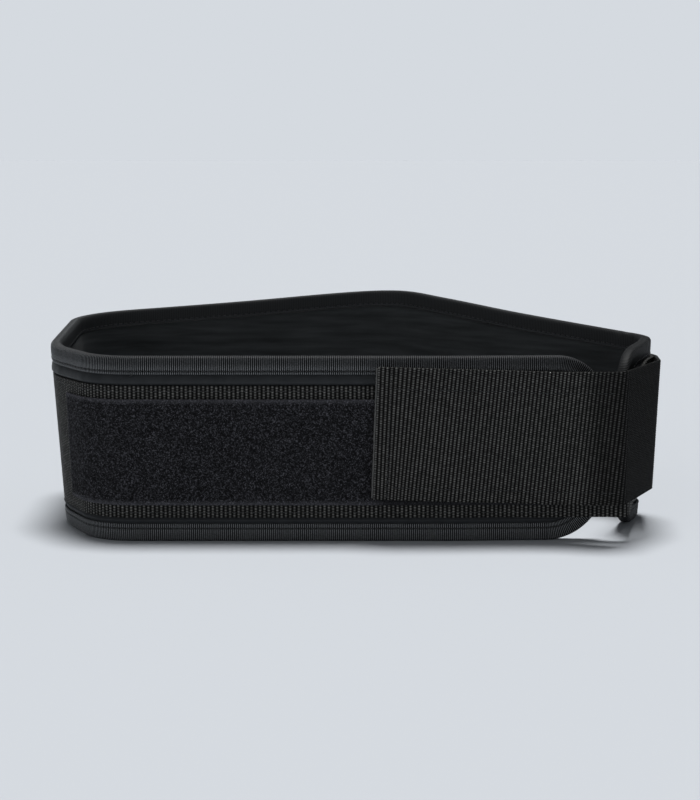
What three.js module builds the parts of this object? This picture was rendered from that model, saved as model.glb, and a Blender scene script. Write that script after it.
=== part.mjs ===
// Weightlifting belt: a foam-padded body bound with tape, a wide webbing band sewn round its outer face,
// and the same webbing taken through a ring, back round the right side and over the front to close it.
// Millimetres, +Z up. The front panel faces -Y and the belt stands on its lower edge at Z = 0.
import * as THREE from "three";

// Sizes of the closed loop, on the outer face of the body at the floor
const loopWidth = 346;
const loopDepth = 207;
const frontHeight = 105;
const backHeight = 127.6;
const sideLean = 4; // degrees that the side walls lean outwards
const upperCorner = 28; // radius of the panel ends' upper corners
const lowerCorner = 34;
const endSlant = 20; // how much further forward the right panel's end reaches at its top than at its foot
const slantReach = 55; // stretch of the right panel over which its weave slants

// Bend radii of the loop in plan
const frontEase = 300;
const frontLeftBend = 34;
const sideLeftBend = 90;
const backLeftBend = 38;
const crownBend = 60;
const rightBend = 14;

// Layers of the wall
const coreThickness = 5.4; // shell, foam and backing together
const puffHeight = 2.2; // how far the shell swells between the band and the edge tape
const seatDepth = 2.3; // how far the sewn band sinks into the padding
const seatRamp = 24; // in which it comes up again
const puffMargin = 2.5; // what of a strip beside the edge tape stays flat
const puffEase = 3.3; // width of the rest at which it swells by half the puff's height
const narrowestStrip = 0.9; // between the band and the edge tape
const liningThickness = 0.8;
const tapeThickness = 1.1;
const tapeWidth = 10; // what shows of the edge tape on each face
const clearance = 0.3;

// Webbing, and the hook and loop tapes sewn to it
const bandThickness = 2.2;
const bandWidth = 75;
const bandHeightFront = 51; // middle of the band above the floor
const bandHeightBack = 62;
const pileThickness = 1.4;
const pileWidth = 60;
const pileStart = 12; // from the left panel's end
const pileLength = 308;
const hookThickness = 1.2;
const hookWidth = 60;
const hookLength = 126;
const hookSetback = 7; // from the tail's end

// Ring that the strap turns back through
const ringWire = 4;
const ringOpening = 11; // along the belt
const ringPastBend = 36; // from the right bend to the ring's near bar
const ringSlack = 1; // between the webbing's edge and the ring
const ringCorner = ringSlack + ringWire / 2;
const wrapAngles = [-60, -30, 0, 30, 60].map(THREE.MathUtils.degToRad); // round half of a bar
const flapLength = 24; // sewn-down end of the band beyond the ring's far bar
const rampLength = 26; // in which a layer comes down from the ring to the layer below

// Closing strap
const tailReach = 131.5; // from the left panel's end to the tail's end
const tailSlant = 2.6; // how much further the tail's lower corner reaches
const liftReach = 27; // where the strap leaves the front panel
const strapRise = 12.3; // highest point of the strap's middle above the front band's middle
const creasePast = 5.5; // crease beside the left panel's end
const creaseStandoff = 19.5;
const creaseBend = 7;
const sideBack = 14; // where the strap turns along the right side, from the right panel's end
const sideStandoff = 14.5;
const sideBend = 9;
const linkPast = 11.5; // where the band under the strap turns round the right panel's end
const linkStandoff = 4.7;
const linkBend = 8;
const linkMerge = 38; // where it meets the right panel
const linkSettle = 9.5; // stretch after that in which it comes to lie flat
const easeBend = 60; // gentle bends where a free stretch meets the panel
const layReach = 7; // stretch of the tail that lies flat before it lifts

// Height of the strap's middle at four places, as shares of its rise
const strapRises = { tail: 0.92, lift: 0.67, crease: 0.77, side: 1 };

// Fineness of the facets
const longestStep = 13;
const arcStep = 9; // degrees
const cornerSteps = 8;
const ringSides = 8;
const ringCornerSteps = 3;
const outerPoints = 10; // points of a body section's outer face
const shortestStep = 0.4;
const sameMark = 0.1; // marks closer together than this are one
const leaveTries = 200; // places tried for the start of a free stretch
const roundShare = 0.49; // most of a stretch that the rounding of one of its corners takes
const straightTurn = 1e-6; // radians

// Plan of the outer face at the floor. "across" is a share of the width, "deep" of the depth.
const planRows = [
  { place: "left panel end", across: 0.912, deep: 0.024, bend: 0 },
  { place: "front ease", across: 0.668, deep: 0, bend: frontEase },
  { place: "front left corner", across: 0.078, deep: 0, bend: frontLeftBend },
  { place: "left side", across: 0.004, deep: 0.27, bend: sideLeftBend },
  { place: "back left corner", across: -0.001, deep: 0.928, bend: backLeftBend },
  { place: "crown", across: 0.558, deep: 1.01, bend: crownBend },
  { place: "right bend", across: 1.002, deep: 0.406, bend: rightBend },
  { place: "right panel end", across: 0.943, deep: 0.116, bend: 0 },
];

// Along the body: "tall" is the share of the way from the front's to the back's height, "band" the share
// of the way from the band's height at the front to that at the back, and "lean" a share of the side lean.
const wallRows = [
  { along: 0.0, tall: 0.0, band: 0.0, lean: 0.0 },
  { along: 0.3, tall: 0.0, band: 0.0, lean: 0.0 },
  { along: 0.37, tall: 0.07, band: 0.08, lean: 0.95 },
  { along: 0.41, tall: 0.16, band: 0.2, lean: 1.0 },
  { along: 0.48, tall: 0.31, band: 0.45, lean: 1.0 },
  { along: 0.55, tall: 0.49, band: 0.7, lean: 0.85 },
  { along: 0.62, tall: 0.69, band: 0.88, lean: 0.75 },
  { along: 0.69, tall: 0.92, band: 0.97, lean: 0.75 },
  { along: 0.73, tall: 1.0, band: 1.0, lean: 0.75 },
  { along: 0.77, tall: 0.86, band: 1.0, lean: 0.75 },
  { along: 0.83, tall: 0.58, band: 0.97, lean: 0.75 },
  { along: 0.9, tall: 0.3, band: 0.9, lean: 0.85 },
  { along: 0.95, tall: 0.12, band: 0.85, lean: 0.85 },
  { along: 1.0, tall: 0.02, band: 0.8, lean: 0.6 },
];

// Levels of the layers, measured outwards from the body's outer face
const bandLevel = clearance + bandThickness / 2;
const pileLevel = clearance + bandThickness + clearance + pileThickness / 2;
const tailLevel = pileLevel + pileThickness / 2 + clearance + hookThickness + clearance + bandThickness / 2;
const returnLevel = bandLevel + bandThickness + clearance;
const ringLevel = clearance + bandThickness + clearance + ringWire / 2;
const wrapRadius = ringWire / 2 + clearance + bandThickness / 2;
const tapeInner = coreThickness + clearance;

// A value between rows, with a smooth slope through each row
function readRows(rows, key, column, at) {
  const last = rows.length - 1;
  const slope = (i) => {
    const a = rows[Math.max(i - 1, 0)];
    const b = rows[Math.min(i + 1, last)];
    const own = rows[i][column];
    const isPeak = (own - a[column]) * (b[column] - own) <= 0;
    return isPeak ? 0 : (b[column] - a[column]) / (b[key] - a[key]);
  };
  let i = 0;
  while (i < last - 1 && at > rows[i + 1][key]) i += 1;
  const span = rows[i + 1][key] - rows[i][key];
  const t = Math.min(Math.max((at - rows[i][key]) / span, 0), 1);
  const a = rows[i][column];
  const b = rows[i + 1][column];
  const rise = (3 - 2 * t) * t * t;
  const startPart = t * (1 - t) * (1 - t) * span * slope(i);
  const endPart = t * t * (t - 1) * span * slope(i + 1);
  return a + (b - a) * rise + startPart + endPart;
}

// A plan line through corner points, each rounded to its bend radius
function makeRoute(corners) {
  const pieces = [];
  let from = corners[0].point;
  for (let i = 1; i < corners.length - 1; i += 1) {
    const corner = corners[i].point;
    const back = new THREE.Vector2().subVectors(corner, corners[i - 1].point);
    const ahead = new THREE.Vector2().subVectors(corners[i + 1].point, corner);
    const room = roundShare * Math.min(back.length(), ahead.length());
    back.normalize();
    ahead.normalize();
    const turn = Math.atan2(back.cross(ahead), back.dot(ahead));
    if (Math.abs(turn) < straightTurn) continue;
    const tangent = Math.min(corners[i].bend * Math.tan(Math.abs(turn) / 2), room);
    const radius = tangent / Math.tan(Math.abs(turn) / 2);
    const start = corner.clone().addScaledVector(back, -tangent);
    pieces.push({ from, direction: back, length: from.distanceTo(start), turn: 0 });
    pieces.push({ from: start, direction: back, length: radius * Math.abs(turn), turn });
    from = corner.clone().addScaledVector(ahead, tangent);
  }
  const end = corners[corners.length - 1].point;
  const direction = new THREE.Vector2().subVectors(end, from).normalize();
  pieces.push({ from, direction, length: from.distanceTo(end), turn: 0 });
  let at = 0;
  for (const piece of pieces) {
    piece.at = at;
    at += piece.length;
  }
  return { pieces, length: at };
}

// Point and direction at a distance along a route; before and past its ends it runs on straight
function walk(route, s) {
  let piece = route.pieces[0];
  for (const next of route.pieces) {
    if (next.length > 0 && s >= next.at) piece = next;
  }
  const part = s - piece.at;
  if (piece.turn === 0) {
    return { point: piece.from.clone().addScaledVector(piece.direction, part), direction: piece.direction };
  }
  const angle = (piece.turn * part) / piece.length;
  const radius = piece.length / piece.turn;
  const left = new THREE.Vector2(-piece.direction.y, piece.direction.x);
  const direction = piece.direction.clone().rotateAround(new THREE.Vector2(), angle);
  const point = piece.from.clone();
  point.addScaledVector(piece.direction, radius * Math.sin(angle));
  point.addScaledVector(left, radius * (1 - Math.cos(angle)));
  return { point, direction };
}

// Distances between two places on a route, close together on its bends
function stations(route, from, to) {
  const low = Math.min(from, to);
  const high = Math.max(from, to);
  const marks = [low];
  for (const piece of route.pieces) {
    const a = Math.max(piece.at, low);
    const b = Math.min(piece.at + piece.length, high);
    if (b - a < shortestStep) continue;
    const turned = (Math.abs(THREE.MathUtils.radToDeg(piece.turn)) * (b - a)) / piece.length;
    const steps = Math.max(Math.ceil((b - a) / longestStep), Math.ceil(turned / arcStep));
    for (let k = 0; k <= steps; k += 1) {
      const mark = a + ((b - a) * k) / steps;
      if (mark - marks[marks.length - 1] > shortestStep) marks.push(mark);
    }
  }
  if (high - marks[marks.length - 1] > shortestStep) marks.push(high);
  else marks[marks.length - 1] = high;
  return from <= to ? marks : marks.reverse();
}

const bodyRoute = makeRoute(
  planRows.map((row) => ({
    point: new THREE.Vector2((row.across - 0.5) * loopWidth, row.deep * loopDepth),
    bend: row.bend,
  })),
);
const bodyLength = bodyRoute.length;

// Length of the body up to the end of its right bend, and to the bend's start
const rightArc = bodyRoute.pieces[bodyRoute.pieces.length - 2];
const bendStart = rightArc.at;
const bendEnd = rightArc.at + rightArc.length;

function wallValue(column, s) {
  return readRows(wallRows, "along", column, s / bodyLength);
}

function wallHeight(s) {
  return frontHeight + (backHeight - frontHeight) * wallValue("tall", s);
}

function bandMiddle(s) {
  return bandHeightFront + (bandHeightBack - bandHeightFront) * wallValue("band", s);
}

// The two bars of the ring lie across the back wall, past the right bend
const nearBar = bendStart - ringPastBend;
const farBar = nearBar - ringWire - ringOpening;

// How deep the band lies in the padding: not over the bound end of the panel, nor near the ring
function seat(s) {
  const fromEnd = THREE.MathUtils.smoothstep(s, lowerCorner, lowerCorner + seatRamp);
  const fromRing = THREE.MathUtils.smoothstep(farBar - flapLength - s, 0, seatRamp);
  return seatDepth * fromEnd * fromRing;
}

// Directions of the wall at a distance along it: outwards and upwards, both tilted by the lean
function wallFrame(s) {
  const { point, direction } = walk(bodyRoute, s);
  const lean = THREE.MathUtils.degToRad(sideLean * wallValue("lean", s));
  const outX = -direction.y;
  const outY = direction.x;
  return {
    foot: new THREE.Vector3(point.x, point.y, 0),
    out: new THREE.Vector3(outX * Math.cos(lean), outY * Math.cos(lean), -Math.sin(lean)),
    up: new THREE.Vector3(outX * Math.sin(lean), outY * Math.sin(lean), Math.cos(lean)),
  };
}

// A point at a distance s along the body, w outwards from its outer face and v up its wall
function onWall(s, w, v) {
  const nearEnd = THREE.MathUtils.smoothstep(s, bodyLength - slantReach, bodyLength);
  const slide = endSlant * nearEnd * (v / wallHeight(s) - 0.5);
  const { foot, out, up } = wallFrame(s + slide);
  return foot.addScaledVector(out, w).addScaledVector(up, v);
}

// How far in from the floor, or from the top, the panel's outline lies near its rounded end
function outlineInset(s, inset, corner) {
  const fromEnd = Math.min(s, bodyLength - s);
  const radius = Math.max(corner - inset, 0);
  const run = Math.min(Math.max(radius - (fromEnd - inset), 0), radius);
  return inset + radius - Math.sqrt(Math.max(radius * radius - run * run, 0));
}

// Six times the volume that a closed set of triangles holds, negative where they face inwards
function signedVolume(positions, index) {
  let volume = 0;
  for (let i = 0; i < index.length; i += 3) {
    const [a, b, c] = [positions[index[i]], positions[index[i + 1]], positions[index[i + 2]]];
    volume += a.dot(new THREE.Vector3().crossVectors(b, c));
  }
  return volume;
}

// Two triangles for a four-sided facet. It folds along the diagonal that lies deeper in the solid, so that
// twisted layers which lie on each other keep clear.
function fold(positions, a, b, c, d, isOutwards) {
  const [pa, pb, pc, pd] = [positions[a], positions[b], positions[c], positions[d]];
  const across = new THREE.Vector3().subVectors(pc, pa);
  const other = new THREE.Vector3().subVectors(pd, pb);
  const outwards = new THREE.Vector3().crossVectors(across, other).multiplyScalar(isOutwards ? 1 : -1);
  const rise = new THREE.Vector3().addVectors(pa, pc).sub(pb).sub(pd).dot(outwards);
  return rise <= 0 ? [a, b, c, a, c, d] : [a, b, d, b, c, d];
}

// A closed skin through rings of points. Where its ends don't join, the first and last ring are capped.
function skin(name, rings, finish, isLoop, capShape) {
  const positions = rings.flat();
  const size = rings[0].length;
  const bands = isLoop ? rings.length : rings.length - 1;
  const build = (isOutwards) => {
    const index = [];
    for (let i = 0; i < bands; i += 1) {
      const here = i * size;
      const next = ((i + 1) % rings.length) * size;
      for (let k = 0; k < size; k += 1) {
        const m = (k + 1) % size;
        index.push(...fold(positions, here + k, next + k, next + m, here + m, isOutwards));
      }
    }
    const end = (rings.length - 1) * size;
    for (const [a, b, c] of isLoop ? [] : capFaces(capShape)) {
      index.push(a, b, c, end + a, end + c, end + b);
    }
    return index;
  };
  const isOutwards = signedVolume(positions, build(true)) > 0;
  const index = build(isOutwards);
  const geometry = new THREE.BufferGeometry();
  const flat = positions.flatMap((p) => [p.x, p.y, p.z]);
  geometry.setAttribute("position", new THREE.Float32BufferAttribute(flat, 3));
  geometry.setIndex(isOutwards ? index : index.reverse());
  geometry.computeVertexNormals();
  const mesh = new THREE.Mesh(geometry, new THREE.MeshStandardMaterial(finish));
  mesh.name = name;
  return mesh;
}

// Triangles of an end cap, turned the same way as the ring's own points
function capFaces(shape) {
  const faces = THREE.ShapeUtils.triangulateShape(shape, []);
  const isClockwise = THREE.ShapeUtils.isClockWise(shape);
  return isClockwise ? faces.map(([a, b, c]) => [a, c, b]) : faces;
}

// End of a layer that has four edges
const squareCap = [[0, 0], [1, 0], [1, 1], [0, 1]].map(([x, y]) => new THREE.Vector2(x, y));

// A flat tape with square edges along a line of middles; each middle has its own upward direction
function ribbon(name, middles, width, thickness, finish) {
  const last = middles.length - 1;
  const rings = middles.map(({ at, up }, i) => {
    const before = middles[Math.max(i - 1, 0)].at;
    const after = middles[Math.min(i + 1, last)].at;
    const along = new THREE.Vector3().subVectors(after, before);
    const face = new THREE.Vector3().crossVectors(along, up).normalize();
    const corner = (side, level) =>
      at.clone().addScaledVector(face, (side * thickness) / 2).addScaledVector(up, (level * width) / 2);
    return [corner(-1, -1), corner(1, -1), corner(1, 1), corner(-1, 1)];
  });
  return skin(name, rings, finish, false, squareCap);
}

// Distances along the panel for a layer that starts this far in from its ends, close together at the corners
function panelMarks(inset, extra) {
  const marks = [...extra];
  for (let k = 0; k <= cornerSteps; k += 1) {
    marks.push(inset + (lowerCorner - inset) * (1 - Math.cos((k / cornerSteps) * (Math.PI / 2))));
  }
  const ends = marks.flatMap((mark) => [mark, bodyLength - mark]);
  const all = [...ends, ...stations(bodyRoute, lowerCorner, bodyLength - lowerCorner)].sort((a, b) => a - b);
  return all.filter((mark, i) => i === 0 || mark - all[i - 1] > sameMark);
}

// The foam-padded panel with its shell, pinched at the edges and swollen beside the band
function makeBody(finish) {
  const inset = tapeThickness + clearance;
  const tapeEdge = tapeWidth + clearance;
  const marks = panelMarks(inset, [tapeEdge, tapeEdge + clearance]);
  const rings = marks.map((s) => bodySection(s, inset, tapeEdge).map(({ w, v }) => onWall(s, w, v)));
  const cap = bodySection(marks[0], inset, tapeEdge).map(({ w, v }) => new THREE.Vector2(w, v));
  return skin("padded_body", rings, finish, false, cap);
}

// Section of the padded panel: up its outer face, then down its inner one
function bodySection(s, inset, tapeEdge) {
  const height = wallHeight(s);
  const low = outlineInset(s, inset, lowerCorner);
  const high = height - outlineInset(s, inset, upperCorner);
  const isUnderTape = Math.min(s, bodyLength - s) < tapeEdge + clearance / 2;
  const pinch = -inset;
  const inner = [
    { w: -coreThickness, v: high },
    { w: -coreThickness, v: low },
  ];
  if (isUnderTape) {
    const rise = (high - low) / (outerPoints - 1);
    const outer = Array.from({ length: outerPoints }, (_, k) => ({ w: pinch, v: low + rise * k }));
    return [...outer, ...inner];
  }
  const lowTape = outlineInset(s, tapeEdge, lowerCorner);
  const highTape = height - outlineInset(s, tapeEdge, upperCorner);
  const half = bandWidth / 2 + clearance;
  const lowBand = Math.max(bandMiddle(s) - half, lowTape + narrowestStrip);
  const highBand = Math.min(bandMiddle(s) + half, highTape - narrowestStrip);
  const sunk = -seat(s);
  const swell = (room) => {
    const strip = Math.max(room - puffMargin, 0);
    return (puffHeight * strip) / (strip + puffEase);
  };
  return [
    { w: pinch, v: low },
    { w: pinch, v: lowTape },
    { w: swell(bandMiddle(s) - half - lowTape), v: (lowBand + lowTape) / 2 },
    { w: 0, v: lowBand - clearance },
    { w: sunk, v: lowBand },
    { w: sunk, v: highBand },
    { w: 0, v: highBand + clearance },
    { w: swell(highTape - bandMiddle(s) - half), v: (highBand + highTape) / 2 },
    { w: pinch, v: highTape },
    { w: pinch, v: high },
    ...inner,
  ];
}

// The smooth cloth on the inner face, inside the frame of the edge tape
function makeLining(finish) {
  const inset = tapeWidth + clearance;
  const near = -(coreThickness + clearance);
  const far = near - liningThickness;
  const rings = panelMarks(inset, []).map((s) => {
    const low = outlineInset(s, inset, lowerCorner);
    const high = wallHeight(s) - outlineInset(s, inset, upperCorner);
    return [onWall(s, near, low), onWall(s, near, high), onWall(s, far, high), onWall(s, far, low)];
  });
  return skin("inner_lining", rings, finish, false, squareCap);
}

// Places round the panel's outline: distance along it, and height above the floor or drop below the top,
// with the direction inwards
function outlinePlaces() {
  const corner = (centreS, radius, startAngle, isUpper) => {
    const places = [];
    for (let k = 0; k <= cornerSteps; k += 1) {
      const angle = THREE.MathUtils.degToRad(startAngle + (90 * k) / cornerSteps);
      const alongIn = -Math.cos(angle);
      const edgeIn = Math.abs(Math.sin(angle));
      const s = centreS - radius * alongIn;
      places.push({ s, fromEdge: radius * (1 - edgeIn), alongIn, edgeIn, isUpper });
    }
    return places;
  };
  const straight = (from, to, isUpper) => {
    const marks = stations(bodyRoute, from, to).slice(1, -1);
    return marks.map((s) => ({ s, fromEdge: 0, alongIn: 0, edgeIn: 1, isUpper }));
  };
  return [
    ...straight(lowerCorner, bodyLength - lowerCorner, false),
    ...corner(bodyLength - lowerCorner, lowerCorner, -90, false),
    ...corner(bodyLength - upperCorner, upperCorner, 0, true),
    ...straight(bodyLength - upperCorner, upperCorner, true),
    ...corner(upperCorner, upperCorner, 90, true),
    ...corner(lowerCorner, lowerCorner, 180, false),
  ];
}

// The tape folded over the panel's edge all the way round, in a U section
function makeEdgeTape(finish) {
  const far = -(tapeInner + tapeThickness);
  const section = [
    { inwards: 0, w: -tapeThickness },
    { inwards: tapeThickness, w: 0 },
    { inwards: tapeWidth, w: 0 },
    { inwards: tapeWidth, w: -tapeThickness },
    { inwards: tapeThickness, w: -tapeThickness },
    { inwards: tapeThickness, w: -tapeInner },
    { inwards: tapeWidth, w: -tapeInner },
    { inwards: tapeWidth, w: far },
    { inwards: tapeThickness, w: far },
    { inwards: 0, w: far + tapeThickness },
  ];
  const rings = outlinePlaces().map(({ s, fromEdge, alongIn, edgeIn, isUpper }) =>
    section.map(({ inwards, w }) => {
      const here = s + alongIn * inwards;
      const inset = fromEdge + edgeIn * inwards;
      return onWall(here, w, isUpper ? wallHeight(here) - inset : inset);
    }),
  );
  return skin("edge_binding", rings, finish, true);
}

// One place in the middle of a tape, on the wall or standing off it
function middle(s, level, height = bandMiddle(s)) {
  return { at: onWall(s, level, height), up: wallFrame(s).up };
}

// Middles of a tape that follows the wall between two distances along it
function middlesOnWall(from, to, levelAt, heightAt = bandMiddle) {
  return stations(bodyRoute, from, to).map((s) => middle(s, levelAt(s), heightAt(s)));
}

// Middles of a tape's free stretch over rounded corners, its height and lean passing evenly along it
function middlesInAir(corners) {
  const plan = corners.map(({ at, bend }) => ({ point: new THREE.Vector2(at.x, at.y), bend: bend ?? 0 }));
  const route = makeRoute(plan);
  const reach = [0];
  for (let i = 1; i < corners.length; i += 1) {
    const step = new THREE.Vector2().subVectors(corners[i].at, corners[i - 1].at).length();
    reach.push(reach[i - 1] + step);
  }
  const total = reach[reach.length - 1];
  return stations(route, 0, route.length).map((s) => {
    const along = (s / route.length) * total;
    let i = 0;
    while (i < corners.length - 2 && along > reach[i + 1]) i += 1;
    const t = (along - reach[i]) / (reach[i + 1] - reach[i]);
    const { point } = walk(route, s);
    const height = THREE.MathUtils.lerp(corners[i].at.z, corners[i + 1].at.z, t);
    const up = new THREE.Vector3().lerpVectors(corners[i].up, corners[i + 1].up, t).normalize();
    return { at: new THREE.Vector3(point.x, point.y, height), up };
  });
}

// A half turn of webbing round one bar, on the side that faces the ring's opening
function middlesRoundBar(s, side, isRising) {
  return wrapAngles.map((angle) => {
    const turned = isRising ? angle : -angle;
    return middle(s + side * wrapRadius * Math.cos(turned), ringLevel + wrapRadius * Math.sin(turned));
  });
}

// The level of a layer that comes down from the ring to the layer below it
function rampLevel(s, bar) {
  const t = Math.min(Math.abs(s - bar) / rampLength, 1);
  return THREE.MathUtils.lerp(ringLevel + wrapRadius, returnLevel, t * t * (3 - 2 * t));
}

// Where a layer that lies round the right bend leaves it straight for a point
function leavingPlace(level, target) {
  let best = { s: bendStart, miss: Infinity };
  for (let k = 0; k <= leaveTries; k += 1) {
    const s = bendStart + ((bendEnd - bendStart) * k) / leaveTries;
    const { at } = middle(s, level);
    const sight = new THREE.Vector2(target.x - at.x, target.y - at.y).normalize();
    const miss = Math.abs(walk(bodyRoute, s).direction.cross(sight));
    if (miss < best.miss) best = { s, miss };
  }
  return best.s;
}

// The band sewn round the body, from its end at the ring's far bar to the bar that the strap turns round
function bandMiddles() {
  const meet = bodyLength - linkMerge;
  const settle = meet - linkSettle;
  const link = middlesInAir([
    middle(linkPast, bandLevel),
    { ...middle(0, bandLevel), bend: easeBend },
    { ...middle(-linkPast, linkStandoff, bandHeightFront), bend: linkBend },
    { ...middle(meet, bandLevel), bend: easeBend },
    middle(settle, bandLevel),
  ]);
  return [
    ...middlesOnWall(farBar - flapLength, farBar, (s) => rampLevel(s, farBar)),
    ...middlesRoundBar(farBar, 1, false),
    ...middlesOnWall(farBar, linkPast, (s) => bandLevel - seat(s)).slice(0, -1),
    ...link,
    ...middlesOnWall(settle, nearBar, () => bandLevel).slice(1),
    ...middlesRoundBar(nearBar, -1, true),
  ];
}

// The strap from the ring's near bar back round the right side and over the front to the tail's end
function strapMiddles() {
  const risen = (share) => bandHeightFront + strapRise * share;
  const tailHeight = (s) => {
    const t = (s - liftReach) / (tailReach - liftReach);
    return THREE.MathUtils.lerp(risen(strapRises.lift), risen(strapRises.tail), t);
  };
  const side = middle(bodyLength - sideBack, sideStandoff, risen(strapRises.side));
  const crease = middle(-creasePast, creaseStandoff, risen(strapRises.crease));
  const leave = leavingPlace(returnLevel, side.at);
  const laid = liftReach + layReach;
  const free = middlesInAir([
    middle(leave, returnLevel),
    { ...side, bend: sideBend },
    { ...crease, bend: creaseBend },
    { ...middle(liftReach, tailLevel, tailHeight(liftReach)), bend: easeBend },
    middle(laid, tailLevel - seat(laid), tailHeight(laid)),
  ]);
  const tail = middlesOnWall(laid, tailReach, (s) => tailLevel - seat(s), tailHeight).slice(1);
  const end = tail[tail.length - 1];
  const alongTail = new THREE.Vector3().subVectors(end.at, tail[tail.length - 2].at).normalize();
  end.up = end.up.clone().addScaledVector(alongTail, -tailSlant / bandWidth);
  return [...middlesOnWall(nearBar, leave, (s) => rampLevel(s, nearBar)).slice(0, -1), ...free, ...tail];
}

// The stretch of a line of middles between two distances from its end, moved sideways off its face
function stretchFromEnd(middles, from, to, offset) {
  const stretch = [];
  let walked = 0;
  for (let i = middles.length - 1; i > 0; i -= 1) {
    const a = middles[i];
    const b = middles[i - 1];
    const step = a.at.distanceTo(b.at);
    const along = new THREE.Vector3().subVectors(a.at, b.at);
    const face = new THREE.Vector3().crossVectors(along, b.up).normalize();
    const put = (distance) => {
      const at = new THREE.Vector3().lerpVectors(a.at, b.at, (distance - walked) / step);
      stretch.push({ at: at.addScaledVector(face, offset), up: b.up });
    };
    if (walked <= from && from < walked + step) put(from);
    if (walked > from && walked < to) put(walked);
    if (walked < to && to <= walked + step) put(to);
    walked += step;
  }
  return stretch;
}

// The metal ring, a round wire bent into a rounded rectangle that the webbing fills
function makeRing(finish) {
  const half = bandWidth / 2 + ringCorner;
  const rings = [];
  const corners = [
    { bar: nearBar, side: 1, start: 0 },
    { bar: farBar, side: 1, start: 90 },
    { bar: farBar, side: -1, start: 180 },
    { bar: nearBar, side: -1, start: 270 },
  ];
  for (const { bar, side, start } of corners) {
    const inwards = bar === nearBar ? -1 : 1;
    for (let k = 0; k <= ringCornerSteps; k += 1) {
      const turn = THREE.MathUtils.degToRad(start + (90 * k) / ringCornerSteps);
      const s = bar + inwards * ringCorner + ringCorner * Math.cos(turn);
      const v = side * (half - ringCorner) + ringCorner * Math.sin(turn);
      const ring = [];
      for (let j = 0; j < ringSides; j += 1) {
        const around = THREE.MathUtils.degToRad((360 * j) / ringSides);
        const swell = (ringWire / 2) * Math.cos(around);
        const level = ringLevel + (ringWire / 2) * Math.sin(around);
        const here = s + swell * Math.cos(turn);
        ring.push(onWall(here, level, bandMiddle(bar) + v + swell * Math.sin(turn)));
      }
      rings.push(ring);
    }
  }
  return skin("strap_ring", rings, finish, true);
}

const webbing = { color: 0x2b2d31, roughness: 0.8, metalness: 0 };
const strap = strapMiddles();
const hookLevel = bandThickness / 2 + clearance + hookThickness / 2;

const group = new THREE.Group();
group.add(
  makeBody({ color: 0x24262b, roughness: 0.75, metalness: 0 }),
  makeLining({ color: 0x23262b, roughness: 0.7, metalness: 0 }),
  makeEdgeTape({ color: 0x2c2f34, roughness: 0.7, metalness: 0 }),
  ribbon("webbing_band", [...bandMiddles(), ...strap], bandWidth, bandThickness, webbing),
  ribbon(
    "loop_panel",
    middlesOnWall(pileStart, pileStart + pileLength, (s) => pileLevel - seat(s)),
    pileWidth,
    pileThickness,
    { color: 0x1f2125, roughness: 0.95, metalness: 0 },
  ),
  ribbon(
    "hook_patch",
    stretchFromEnd(strap, hookSetback, hookSetback + hookLength, hookLevel),
    hookWidth,
    hookThickness,
    { color: 0x1b1c1f, roughness: 0.6, metalness: 0 },
  ),
  makeRing({ color: 0x8c8f93, roughness: 0.35, metalness: 1 }),
);

// The origin lies on the floor, under the middle of the whole belt
const whole = new THREE.Box3().setFromObject(group);
const centre = whole.getCenter(new THREE.Vector3());
group.position.set(-centre.x, -centre.y, -whole.min.z);

export default group;
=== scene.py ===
"""Weightlifting belt, closed and standing on its lower edge, with its floor, light and camera."""
import math

import bmesh
import bpy
import numpy as np
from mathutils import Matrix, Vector


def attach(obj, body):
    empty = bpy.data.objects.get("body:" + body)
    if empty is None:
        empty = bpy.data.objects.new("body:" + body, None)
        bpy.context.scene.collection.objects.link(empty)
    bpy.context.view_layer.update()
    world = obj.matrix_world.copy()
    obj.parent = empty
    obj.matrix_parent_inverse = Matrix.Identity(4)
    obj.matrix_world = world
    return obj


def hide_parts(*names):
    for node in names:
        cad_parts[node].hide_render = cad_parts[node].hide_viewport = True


bl_info = {
    "name": "Weightlifting belt",
    "version": (1, 0, 0),
    "blender": (4, 5, 0),
    "location": "3D View > Sidebar > Belt",
    "description": "Makes the padded body, webbing, tapes, ring and stitching of a weightlifting belt",
    "category": "Add Mesh",
}

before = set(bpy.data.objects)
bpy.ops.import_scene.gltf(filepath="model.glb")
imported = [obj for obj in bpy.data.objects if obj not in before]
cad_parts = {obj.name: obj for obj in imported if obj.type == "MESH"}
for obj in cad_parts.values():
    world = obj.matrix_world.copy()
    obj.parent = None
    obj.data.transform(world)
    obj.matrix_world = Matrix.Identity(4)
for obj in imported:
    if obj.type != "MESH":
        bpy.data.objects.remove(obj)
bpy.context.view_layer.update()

MM = 0.001

# Sizes of the closed loop in mm, the same as the solids have
LOOP_WIDTH = 346.0
LOOP_DEPTH = 207.0
FRONT_HEIGHT = 105.0
BACK_HEIGHT = 127.6
SIDE_LEAN = 4.0
UPPER_CORNER = 28.0
LOWER_CORNER = 34.0
END_SLANT = 20.0
SLANT_REACH = 55.0
CORE = 5.4
SEAT_DEPTH = 2.3
SEAT_RAMP = 24.0
LINING = 0.8
CLEAR = 0.3
BAND = 2.2
BAND_WIDTH = 75.0
BAND_FRONT = 51.0
BAND_BACK = 62.0
PILE = 1.4
PILE_START = 12.0
PILE_LENGTH = 308.0
PILE_WIDTH = 60.0
HOOK = 1.2
HOOK_LENGTH = 126.0
HOOK_SETBACK = 7.0
RING_WIRE = 4.0
RING_OPENING = 11.0
RING_PAST_BEND = 36.0
RING_CORNER = 3.0
FLAP = 24.0
RAMP = 26.0
TAIL_REACH = 131.5
TAIL_LEAN = 2.1
RIB_LEAN = 6.0
LIFT_REACH = 27.0
STRAP_RISE = 12.3
STRAP_RISES = {"tail": 0.92, "lift": 0.67, "crease": 0.77, "side": 1.0}
CREASE = (5.5, 19.5, 7.0)
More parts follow.
